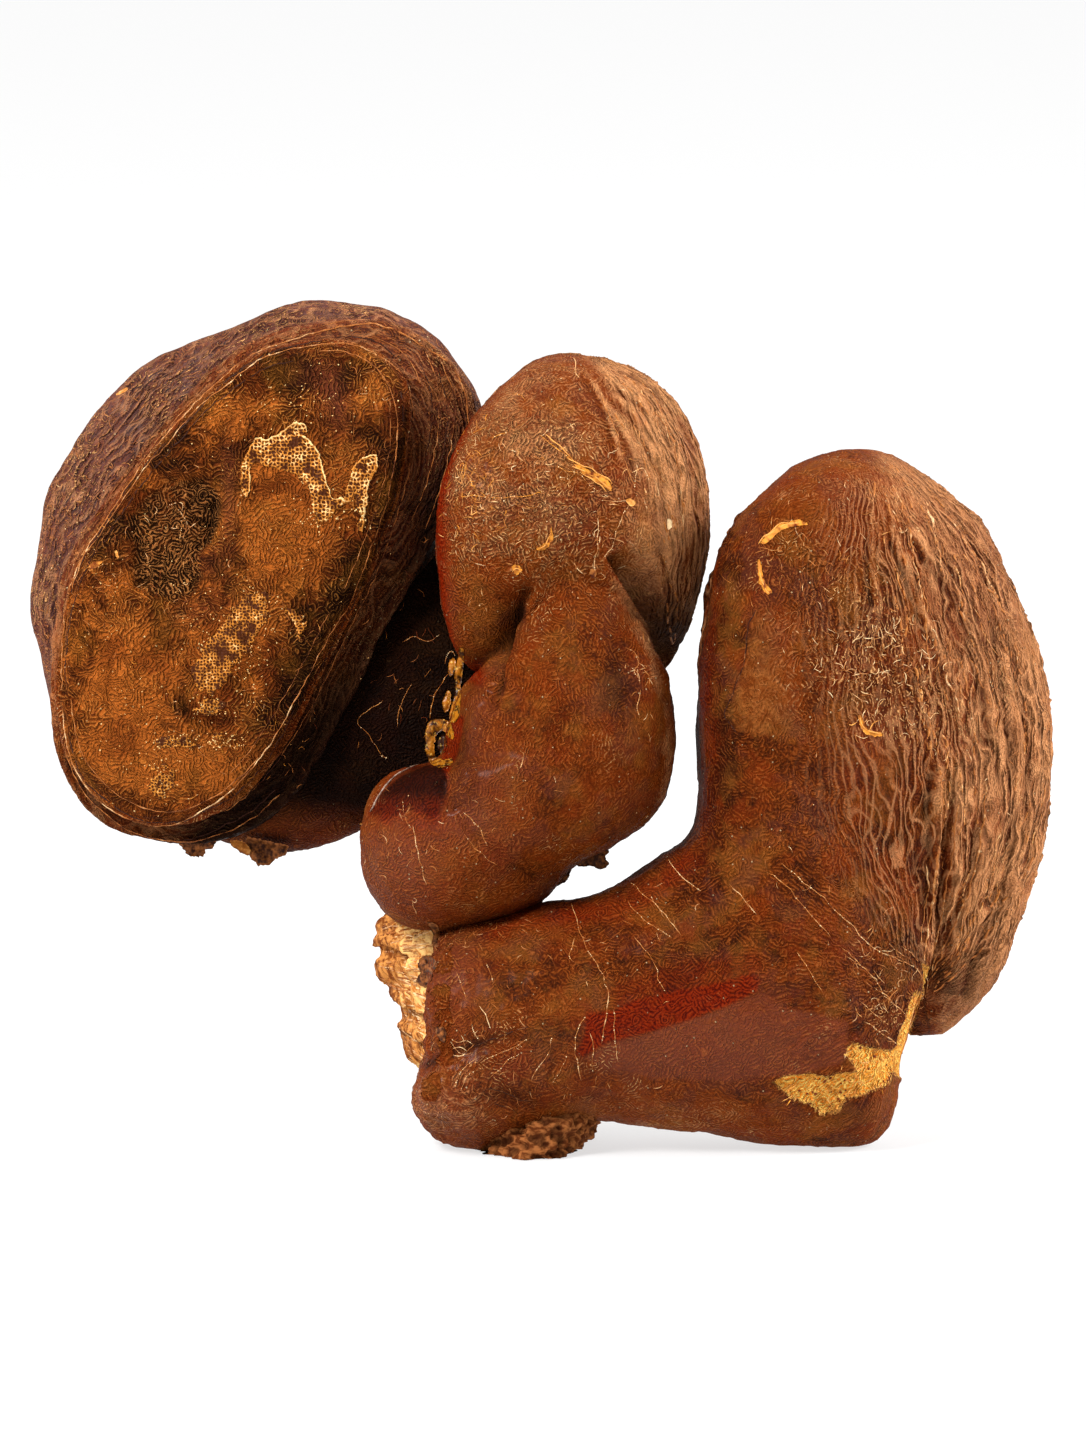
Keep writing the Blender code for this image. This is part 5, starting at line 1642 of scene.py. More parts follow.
def honeycomb(bits, cover, polygon, pitch=0.8, cell=3.8, seed=1, fringe=1.6, rim=1.0, tone=1.0, bare=0.0):
    """Torn-open pores: a raised net of walls with a bright ragged border."""
    poly = np.asarray(polygon, float)
    lo, hi = poly.min(0) - 3, poly.max(0) + 3
    xs, ys = np.arange(lo[0], hi[0], pitch), np.arange(lo[1], hi[1], pitch)
    gx, gy = np.meshgrid(xs, ys)
    p = np.stack([gx.ravel(), gy.ravel(), np.full(gx.size, seed * 13.0)], 1)
    deep = inside(p, poly) + fringe * fbm(p, 5.5, 2, seed=73)
    patches = fbm(p, 15, 2, seed=83)
    deep = deep - bare * smooth(0.0, 0.4, patches)
    keep = deep > -0.6
    bent = p[:, :2] + 1.1 * np.stack([noise(p / 6.0, 75), noise(p / 6.0 + 5.5, 77)], 1)
    g = bent / cell
    base = np.floor(g)
    near1, near2 = np.full(len(p), 9.0), np.full(len(p), 9.0)
    for cx in (-1, 0, 1):
        for cy in (-1, 0, 1):
            ix, iy = (base[:, 0] + cx).astype(np.int64), (base[:, 1] + cy).astype(np.int64)
            h = hashed(ix, iy, 0 * ix, 79 + seed)
            jx = (h & np.uint32(1023)).astype(float) / 1023 * 0.62 + 0.19
            jy = ((h >> np.uint32(10)) & np.uint32(1023)).astype(float) / 1023 * 0.62 + 0.19
            d = np.hypot(ix + jx - g[:, 0], iy + jy - g[:, 1])
            near2 = np.minimum(near2, np.maximum(near1, d))
            near1 = np.minimum(near1, d)
    gap = (near2 - near1) * cell
    wall = smooth(1.4, 0.35, gap)
    up = smooth(-0.6, 1.0, (inside(p, poly) - inside(p + np.array([1.0, -2.0, 0.0]), poly)) / 2)
    border = np.exp(-(((deep - 0.6) / 0.9) ** 2)) * rim * (0.15 + 0.95 * up)
    lift = 0.4 + 1.1 * np.maximum(wall, border * 0.9) * smooth(-0.8, 0.6, deep) + 0.7 * border - 1.6 * smooth(0.2, -0.6, deep)
    index = np.full(len(p), -1)
    rows = []
    for i in np.nonzero(keep)[0]:
        hit = cover.drop(p[i, 0], p[i, 1])
        if hit is not None:
            index[i] = len(rows)
            rows.append((p[i, 0], p[i, 1], hit[0].z - lift[i]))
    index = index.reshape(gx.shape)
    a, b, c, d = index[:-1, :-1], index[:-1, 1:], index[1:, 1:], index[1:, :-1]
    good = (a >= 0) & (b >= 0) & (c >= 0) & (d >= 0)
    faces = np.stack([a[good], b[good], c[good], d[good]], 1).tolist()
    used = index.ravel() >= 0
    tone = np.maximum(wall * tone * (0.6 + 0.6 * noise(p / 3.0, 81) + 0.9 * patches), border * 1.05)[used]
    bits.add(rows, faces, tone, 0.3)


def bit_material(name, swing=0.8):
    """Hyphae, beads and scraps, coloured by tone and gold."""
    g = Graph(name)
    vary = g.noise(4.0, 2, 0.6)
    tone = g.math("MULTIPLY_ADD", g.math("SUBTRACT", vary, 0.5), swing, g.attr("tone"))
    colour = g.mix(g.step(tone, 0.0, 0.5), srgb(52, 20, 5), srgb(176, 104, 50))
    colour = g.mix(g.step(tone, 0.5, 1.05), colour, srgb(252, 222, 170))
    orange = g.mix(g.step(tone, 0.1, 1.0), srgb(118, 44, 3), srgb(240, 156, 52))
    colour = g.mix(g.attr("gold"), colour, orange)
    g.put(g.bsdf.inputs["Base Color"], colour)
    g.bsdf.inputs["Roughness"].default_value = 0.55
    g.bsdf.inputs["Specular IOR Level"].default_value = 0.15
    return g.mat


def honey_material(name):
    g = Graph(name)
    tone = g.attr("tone")
    colour = g.mix(g.step(tone, 0.05, 0.5), srgb(74, 32, 6), srgb(206, 128, 44))
    colour = g.mix(g.step(tone, 0.5, 1.0), colour, srgb(255, 220, 150))
    g.put(g.bsdf.inputs["Base Color"], colour)
    g.bsdf.inputs["Roughness"].default_value = 0.6
    g.bsdf.inputs["Specular IOR Level"].default_value = 0.1
    return g.mat


def amber_material(name):
    g = Graph(name)
    n = g.noise(9.0, 3, 0.55, warp=0.6)
    f = g.noise(3.0, 2, 0.5)
    n = g.math("MULTIPLY_ADD", g.math("SUBTRACT", g.attr("tone"), 0.5), 0.5, n)
    colour = g.mix(g.step(n, 0.38, 0.58), srgb(52, 20, 2), srgb(180, 108, 18))
    colour = g.mix(g.step(f, 0.58, 0.75), colour, srgb(236, 186, 84))
    g.put(g.bsdf.inputs["Base Color"], colour)
    g.bsdf.inputs["Roughness"].default_value = 0.35
    g.bsdf.inputs["Specular IOR Level"].default_value = 0.4
    bump = g.t.nodes.new("ShaderNodeBump")
    bump.inputs["Strength"].default_value = 0.8
    bump.inputs["Distance"].default_value = 1.6 * GRID
    g.put(bump.inputs["Height"], n)
    g.put(g.bsdf.inputs["Normal"], bump.outputs[0])
    return g.mat


# ---- threads, curls, flakes and crusts -----------------------------------------
THREADS = [
    # radius, tone, gold, line
    (0.9, 0.80, 0.10, [(780, 862), (800, 880), (820, 895), (835, 910), (850, 925), (870, 945), (900, 960), (918, 970), (925, 985), (922, 1002)]),
    (0.8, 0.75, 0.15, [(765, 870), (785, 885), (800, 905), (815, 920), (828, 937)]),
    (0.8, 0.85, 0.05, [(728, 883), (742, 897), (755, 913)]),
    (0.7, 0.65, 0.20, [(840, 945), (855, 960), (870, 975), (882, 992), (893, 1005)]),
    (0.7, 0.60, 0.25, [(795, 950), (808, 970), (820, 990)]),
    (0.8, 0.80, 0.15, [(872, 985), (890, 1000), (903, 1012), (908, 1022)]),
    (0.8, 0.80, 0.20, [(862, 1020), (878, 1030), (895, 1043)]),
    (0.7, 0.75, 0.20, [(858, 1000), (872, 1012), (886, 1022)]),
    (0.7, 0.80, 0.10, [(900, 945), (910, 952), (918, 964)]),
    (0.7, 0.75, 0.15, [(885, 940), (893, 948), (905, 956)]),
    (0.7, 0.80, 0.10, [(650, 895), (665, 915), (680, 935)]),
    (0.8, 0.85, 0.05, [(663, 850), (672, 864), (684, 878), (700, 890)]),
    (0.7, 0.70, 0.10, [(630, 882), (642, 893), (655, 903), (664, 915)]),
    (0.7, 0.70, 0.10, [(672, 936), (655, 925), (640, 915), (628, 900)]),
    (0.8, 0.85, 0.05, [(604, 981), (608, 993), (606, 1010), (603, 1028), (601, 1041)]),
    (0.8, 0.85, 0.05, [(613, 1007), (614, 1022), (615, 1040), (617, 1059)]),
    (0.8, 0.80, 0.10, [(585, 1013), (578, 1026), (575, 1045), (577, 1062), (581, 1078)]),
    (0.7, 0.70, 0.10, [(590, 1030), (593, 1050), (592, 1070)]),
    (0.7, 0.70, 0.15, [(633, 935), (645, 950), (654, 965), (659, 980), (664, 990)]),
    (0.7, 0.65, 0.15, [(570, 900), (578, 925), (588, 950), (600, 968), (604, 982)]),
    (0.7, 0.60, 0.15, [(575, 935), (570, 955), (580, 965)]),
    (0.9, 0.80, 0.05, [(487, 960), (489, 970), (493, 981)]),
    (0.7, 0.55, 0.10, [(457, 970), (462, 985), (468, 998)]),
    (0.8, 0.90, 0.00, [(480, 1004), (486, 1014), (492, 1026)]),
    (0.8, 0.85, 0.00, [(472, 1022), (475, 1030), (480, 1037)]),
    (0.8, 0.75, 0.00, [(448, 1035), (456, 1045), (463, 1052), (472, 1050)]),
    (0.8, 0.80, 0.00, [(456, 1085), (460, 1072), (470, 1060), (478, 1056)]),
    (0.8, 0.95, 0.00, [(446, 1040), (452, 1046), (460, 1044), (468, 1048)]),
    (0.8, 0.90, 0.00, [(450, 1036), (458, 1040), (466, 1038), (474, 1042)]),
    (0.8, 0.90, 0.00, [(444, 1049), (450, 1052), (458, 1054), (466, 1052)]),
    (0.8, 0.70, 0.00, [(462, 1088), (466, 1076), (476, 1066)]),
    (0.7, 0.70, 0.05, [(482, 1060), (500, 1050), (515, 1044), (530, 1036)]),
    (0.7, 0.60, 0.05, [(490, 1075), (505, 1062), (520, 1050)]),
    (0.7, 0.75, 0.05, [(552, 1034), (548, 1050), (538, 1064), (531, 1078)]),
    (0.7, 0.60, 0.10, [(566, 1052), (560, 1068), (551, 1082)]),
    (0.7, 0.55, 0.05, [(430, 1085), (427, 1100), (432, 1118)]),
    (0.7, 0.55, 0.05, [(446, 1130), (442, 1115), (450, 1100)]),
    (0.8, 0.80, 0.05, [(413, 824), (417, 840), (419, 852), (423, 870), (427, 884)]),
    (0.6, 0.60, 0.05, [(403, 800), (406, 815), (412, 828)]),
    (0.7, 0.60, 0.05, [(466, 833), (474, 845), (486, 856), (498, 864)]),
    (0.8, 0.75, 0.10, [(464, 812), (472, 820), (480, 828), (488, 845)]),
    (0.6, 0.70, 0.30, [(383, 701), (366, 712), (358, 721), (363, 730), (371, 738), (380, 751), (385, 757)]),
    (0.6, 0.65, 0.30, [(412, 684), (406, 693), (402, 702), (398, 718), (397, 727)]),
    (0.8, 0.60, 0.40, [(450, 672), (443, 682), (437, 693), (432, 708), (431, 719)]),
    (0.6, 0.70, 0.40, [(434, 721), (428, 730), (424, 738)]),
    (0.9, 1.00, 0.00, [(380, 755), (384, 757), (388, 759)]),
    (0.7, 0.50, 0.10, [(402, 642), (415, 636), (428, 642), (440, 634)]),
    (0.7, 0.75, 0.05, [(444, 664), (447, 655), (452, 651), (455, 657)]),
    (0.8, 0.75, 0.00, [(625, 648), (634, 654), (638, 664), (634, 672), (640, 680)]),
    (0.7, 0.75, 0.00, [(630, 668), (637, 674), (641, 684)]),
    (0.8, 0.85, 0.20, [(640, 690), (637, 704), (638, 718)]),
    (0.8, 0.80, 0.10, [(602, 560), (612, 548), (616, 532), (624, 515), (629, 505)]),
    (0.7, 0.75, 0.10, [(600, 502), (614, 503), (628, 503)]),
    (0.8, 0.85, 0.10, [(634, 490), (635, 478), (640, 470), (646, 474), (648, 484)]),
    (0.8, 0.85, 0.00, [(652, 480), (657, 490), (660, 502)]),
    (0.9, 0.90, 0.05, [(597, 520), (598, 540), (595, 560), (594, 578)]),
    (0.9, 0.70, 0.55, [(457, 499), (475, 498), (495, 500), (515, 499), (530, 497), (545, 494)]),
    (0.9, 0.65, 0.60, [(540, 438), (552, 446), (564, 456), (574, 466)]),
    (0.8, 0.75, 0.40, [(556, 470), (566, 474), (578, 476), (588, 486), (598, 494)]),
    (0.9, 0.75, 0.50, [(512, 396), (520, 398), (526, 402)]),
    (0.8, 0.80, 0.20, [(572, 358), (576, 366), (574, 374), (580, 380)]),
    (0.9, 0.75, 0.55, [(472, 437), (480, 432), (488, 430)]),
    (0.9, 0.75, 0.55, [(492, 441), (500, 438), (508, 434)]),
    (0.8, 0.70, 0.55, [(462, 484), (466, 474), (463, 464)]),
    (0.8, 0.70, 0.55, [(470, 478), (476, 470), (480, 462)]),
    (0.8, 0.70, 0.55, [(474, 488), (470, 480), (466, 474)]),
    (0.8, 0.90, 0.00, [(168, 508), (172, 505), (180, 503), (184, 506), (183, 512)]),
    (0.7, 0.85, 0.00, [(178, 510), (182, 515), (187, 520), (190, 528)]),
    (0.8, 0.65, 0.45, [(105, 563), (100, 566), (94, 567), (88, 570)]),
    (0.8, 0.60, 0.40, [(244, 500), (243, 488), (245, 478)]),
    (0.8, 0.65, 0.45, [(170, 748), (182, 742), (190, 736), (196, 728)]),
    (0.8, 0.65, 0.50, [(198, 748), (212, 742), (222, 736), (228, 744), (240, 747)]),
    (0.7, 0.70, 0.45, [(180, 799), (192, 798), (200, 795)]),
    (0.8, 0.75, 0.30, [(172, 704), (177, 701), (180, 706)]),
    (0.7, 0.60, 0.40, [(234, 688), (246, 690), (256, 686)]),
    (0.7, 0.65, 0.30, [(180, 540), (183, 530), (181, 518)]),
]
CRESTS = [
    # radius, tone, gold, line: raised folds, coloured light along the crest as a painted highlight
    (1.5, 0.56, 0.25, [(943, 812), (939, 838), (935, 870), (932, 900), (928, 930), (925, 955), (921, 985)]),
    (1.0, 0.50, 0.25, [(925, 860), (927, 890), (922, 920), (920, 950)]),
    (1.1, 0.52, 0.20, [(958, 800), (953, 840), (947, 880), (938, 930), (930, 970)]),
    (1.2, 0.50, 0.20, [(985, 780), (982, 830), (970, 885), (950, 935), (932, 975)]),
    (1.1, 0.50, 0.25, [(890, 480), (905, 520), (912, 560), (922, 600), (925, 640), (930, 690)]),
    (1.1, 0.54, 0.30, [(640, 380), (655, 400), (668, 430), (678, 470), (682, 510), (684, 545)]),
    (1.0, 0.54, 0.30, [(620, 372), (640, 392), (660, 420), (672, 450)]),
    (1.0, 0.50, 0.25, [(598, 392), (610, 420), (622, 455), (634, 490)]),
]
GAP_SHADOWS = [
    # radius, line: dark lines laid in the gaps between the lips of the left cap, a painted shadow
    (1.3, [(70, 600), (82, 562), (102, 531), (122, 498), (152, 458), (170, 441), (190, 421), (214, 395), (238, 374), (262, 359), (285, 349), (310, 344), (335, 339), (360, 338), (382, 346), (400, 360)]),
    (0.9, [(66, 690), (68, 645), (74, 605), (88, 566), (106, 541), (124, 513), (150, 476), (168, 456), (186, 436), (206, 413), (229, 395), (252, 378), (272, 368), (300, 360)]),
    (1.2, [(68, 735), (82, 774), (104, 798), (136, 819), (172, 823), (210, 809), (240, 791), (270, 757), (298, 706)]),
    (1.0, [(64, 752), (80, 786), (104, 812), (136, 834), (180, 840), (216, 830), (250, 812), (280, 785)]),
    (0.9, [(401, 385), (404, 420), (401, 470), (388, 520), (364, 582), (338, 637), (311, 690)]),
    (0.8, [(415, 356), (430, 388), (431, 430), (420, 480), (402, 528)]),
    (0.8, [(433, 360), (447, 400), (446, 440), (434, 490), (417, 530)]),
]
OUTLINES = [
    # radius, line: dark lines on the right body, painted shade in its grooves: the worn patch's edge, the lower lobe's
    # dark band and the notch
    (0.9, [(756, 608), (748, 622), (745, 642), (742, 664), (735, 684), (727, 704), (724, 716), (730, 726), (738, 734)]),
    (0.8, [(480, 1090), (494, 1086), (510, 1092), (524, 1098), (538, 1096)]),
    (0.8, [(490, 1100), (504, 1104), (520, 1106)]),
    (0.8, [(470, 1046), (492, 1037), (514, 1028), (536, 1021)]),
]
RIMS = [
    # radius, tone, line: the thin raised lips of the left cap, coloured bright as a painted highlight
    (1.3, 0.50, [(72, 590), (84, 556), (100, 530), (125, 492), (150, 455), (175, 427), (200, 400), (225, 378), (250, 357), (275, 346), (300, 338), (325, 331), (350, 326), (375, 325), (400, 333), (420, 345), (445, 360), (458, 377), (467, 400), (468, 425)]),
    (1.1, 0.55, [(62, 690), (63, 640), (68, 600), (80, 563), (100, 536), (120, 506), (150, 464), (165, 449), (182, 428), (202, 405), (225, 388), (250, 369), (263, 360), (280, 353), (300, 349), (330, 345), (350, 345), (375, 354), (390, 364), (403, 372)]),
    (0.9, 0.42, [(318, 353), (340, 352), (365, 361), (380, 372), (392, 395), (398, 420), (396, 460), (388, 500), (375, 540), (352, 600), (325, 645), (302, 690)]),
    (1.2, 0.58, [(302, 690), (272, 742), (240, 782), (215, 803), (180, 822), (150, 826), (120, 815), (95, 797), (76, 770), (66, 740), (62, 700)]),
    (0.9, 0.40, [(72, 700), (78, 740), (92, 768), (112, 790), (140, 806), (170, 812), (205, 802), (235, 782), (260, 757)]),
    (0.9, 0.38, [(62, 742), (76, 780), (98, 808), (132, 832), (178, 842), (215, 836), (250, 820), (280, 794)]),
    (0.8, 0.32, [(408, 385), (414, 420), (409, 470), (396, 520), (374, 580), (347, 635), (320, 690), (292, 740), (258, 785), (225, 812)]),
    (0.8, 0.36, [(425, 352), (438, 385), (438, 430), (428, 480), (408, 530)]),
    (0.8, 0.32, [(440, 360), (455, 400), (452, 440), (440, 490), (425, 530)]),
    (0.7, 0.40, [(110, 505), (135, 470), (160, 438), (185, 410), (210, 386), (236, 366), (262, 350), (290, 341)]),
    (0.7, 0.42, [(300, 333), (330, 325), (360, 320), (390, 322), (415, 335), (438, 350)]),
    (0.7, 0.38, [(320, 342), (350, 337), (378, 340), (398, 350), (412, 364), (420, 385)]),
    (0.6, 0.35, [(66, 660), (68, 620), (78, 585), (92, 555), (112, 527)]),
    (0.6, 0.35, [(390, 400), (391, 440), (384, 485), (370, 530), (345, 590)]),
    (0.6, 0.30, [(330, 612), (305, 662), (280, 705), (255, 745), (230, 775)]),
]
CURLS = [
    # body, how many, x, y, spread x, spread y, angle, scatter, length, radius, tone, gold
    ("middle", 210, 530, 490, 62, 44, 20, 60, (5, 12), 0.46, 0.62, 0.35),
    ("middle", 90, 470, 478, 14, 38, 70, 50, (6, 14), 0.50, 0.60, 0.65),
    ("middle", 50, 600, 545, 20, 24, 80, 40, (5, 11), 0.50, 0.62, 0.20),
    ("middle", 30, 650, 480, 22, 40, 70, 30, (7, 14), 0.46, 0.56, 0.20),
    ("middle", 24, 560, 395, 60, 18, 30, 60, (5, 11), 0.44, 0.48, 0.25),
    ("middle", 26, 470, 635, 14, 26, 60, 60, (6, 12), 0.42, 0.42, 0.30),
    ("middle", 20, 495, 800, 30, 36, 50, 30, (7, 14), 0.42, 0.46, 0.20),
    ("middle", 26, 645, 670, 8, 34, 80, 50, (5, 11), 0.48, 0.62, 0.30),
    ("middle", 30, 400, 850, 24, 34, 80, 25, (8, 16), 0.42, 0.38, 0.05),
    ("right", 110, 872, 655, 28, 26, 60, 45, (6, 15), 0.54, 0.68, 0.20),
    ("right", 60, 820, 560, 42, 26, 70, 50, (6, 13), 0.46, 0.52, 0.30),
    ("right", 50, 925, 690, 36, 50, 75, 25, (7, 16), 0.46, 0.54, 0.15),
    ("right", 36, 840, 500, 50, 24, 60, 40, (6, 13), 0.44, 0.50, 0.20),
    ("right", 30, 1000, 790, 24, 60, 80, 30, (7, 14), 0.46, 0.52, 0.10),
    ("right", 36, 855, 715, 30, 20, 40, 60, (6, 13), 0.50, 0.62, 0.20),
    ("right", 56, 885, 985, 24, 34, 45, 20, (9, 22), 0.46, 0.58, 0.30),
    ("right", 60, 490, 1060, 44, 40, 70, 50, (6, 14), 0.42, 0.44, 0.10),
    ("right", 40, 470, 930, 34, 14, 60, 50, (6, 12), 0.42, 0.46, 0.20),
    ("right", 24, 600, 950, 50, 26, 60, 50, (5, 11), 0.40, 0.42, 0.30),
    ("right", 20, 770, 900, 60, 26, 45, 30, (6, 14), 0.42, 0.46, 0.20),
    ("right", 24, 600, 1095, 60, 16, 80, 40, (5, 11), 0.40, 0.40, 0.15),
    ("right", 30, 775, 660, 34, 70, 70, 60, (5, 10), 0.38, 0.40, 0.30),
    ("left", 60, 78, 490, 20, 80, 105, 30, (6, 13), 0.44, 0.36, 0.10),
    ("left", 36, 150, 400, 50, 24, 140, 40, (6, 13), 0.44, 0.36, 0.10),
    ("left", 24, 50, 640, 8, 40, 90, 30, (5, 11), 0.44, 0.40, 0.15),
    ("left", 90, 175, 545, 28, 40, 60, 70, (6, 15), 0.46, 0.40, 0.35),
    ("left", 60, 110, 560, 14, 44, 60, 60, (5, 12), 0.42, 0.40, 0.50),
    ("left", 40, 310, 560, 40, 50, 60, 70, (5, 12), 0.42, 0.36, 0.60),
    ("left", 40, 320, 400, 46, 26, 60, 70, (5, 12), 0.44, 0.40, 0.30),
    ("left", 36, 380, 440, 14, 50, 80, 30, (7, 15), 0.42, 0.36, 0.20),
    ("left", 50, 200, 735, 60, 40, 60, 70, (5, 12), 0.44, 0.42, 0.75),
    ("left", 40, 300, 690, 26, 60, 100, 40, (6, 14), 0.40, 0.26, 0.40),
    ("left", 30, 430, 430, 14, 50, 80, 25, (7, 15), 0.40, 0.30, 0.20),
    ("stem", 30, 400, 670, 24, 50, 110, 30, (7, 15), 0.38, 0.24, 0.45),
]
RIGHT_RIDGES = [
    (864, 446), (915, 470), (962, 515), (1002, 590), (1030, 670), (1046, 760), (1042, 850), (1012, 930),
    (972, 985), (942, 1000), (934, 930), (940, 830), (925, 760), (905, 690), (893, 620), (872, 540),
]
MIDDLE_RIDGES = [
    (592, 352), (640, 364), (680, 400), (700, 450), (708, 520), (702, 600), (684, 640), (664, 610), (652, 560), (632, 500), (612, 430),
]
FLOWS = [
    # body, how many, region, poles, length, radius, tone
    ("right", 130, RIGHT_RIDGES, ((858, 430), (926, 1000)), (30, 110), 1.5, 0.44),
    ("middle", 60, MIDDLE_RIDGES, ((585, 345), (668, 700)), (24, 80), 1.25, 0.46),
]
HONEY = [
    [(242, 487), (242, 467), (246, 456), (251, 447), (257, 438), (267, 439), (277, 437), (290, 427), (298, 422), (307, 425), (308, 433), (303, 436), (313, 443), (320, 453), (323, 467), (328, 483), (333, 497), (345, 499), (350, 478), (355, 467), (363, 458), (378, 455), (379, 467), (373, 480), (370, 493), (368, 513), (363, 532), (358, 532), (360, 517), (355, 497), (349, 505), (337, 510), (327, 523), (317, 522), (312, 505), (309, 488), (297, 475), (283, 471), (267, 467), (257, 463), (252, 468), (252, 482), (250, 500), (246, 498)],
    [(196, 690), (192, 672), (198, 655), (207, 641), (216, 629), (231, 613), (244, 598), (257, 589), (268, 592), (271, 608), (266, 625), (258, 640), (246, 655), (236, 668), (226, 684), (212, 696)],
    [(284, 612), (291, 607), (299, 614), (311, 610), (307, 624), (301, 640), (295, 638), (291, 626)],
    [(196, 700), (212, 698), (226, 702), (222, 714), (206, 716), (194, 710)],
    [(150, 740), (170, 735), (190, 738), (200, 745), (186, 752), (166, 750)],
    [(214, 736), (232, 730), (244, 734), (240, 746), (222, 750)],
    [(152, 768), (166, 762), (177, 772), (174, 792), (160, 800), (150, 788)],
]
PORE_BEADS = [
    # how many, x, y, spread x, spread y, turn, radius, tone
    (110, 228, 648, 18, 42, 38, 0.8, 0.8), (40, 262, 612, 10, 20, 20, 0.8, 0.8),
    (60, 320, 512, 14, 12, 0, 0.9, 0.85), (30, 362, 505, 6, 26, 8, 0.9, 0.85),
    (46, 175, 742, 22, 5, 6, 0.9, 0.8), (34, 212, 706, 12, 8, 0, 0.9, 0.8),
    (40, 225, 742, 14, 6, 0, 0.9, 0.8), (50, 163, 782, 9, 13, 20, 0.9, 0.75),
    (120, 250, 560, 70, 90, 20, 0.7, 0.75), (100, 150, 700, 50, 70, 0, 0.7, 0.72),
    (60, 320, 400, 50, 30, 0, 0.75, 0.85), (40, 100, 600, 14, 40, 0, 0.7, 0.7),
]
SCATTER = {"right": (720, 640, 130, 200), "middle": (560, 640, 80, 150), "left": (70, 480, 26, 100)}


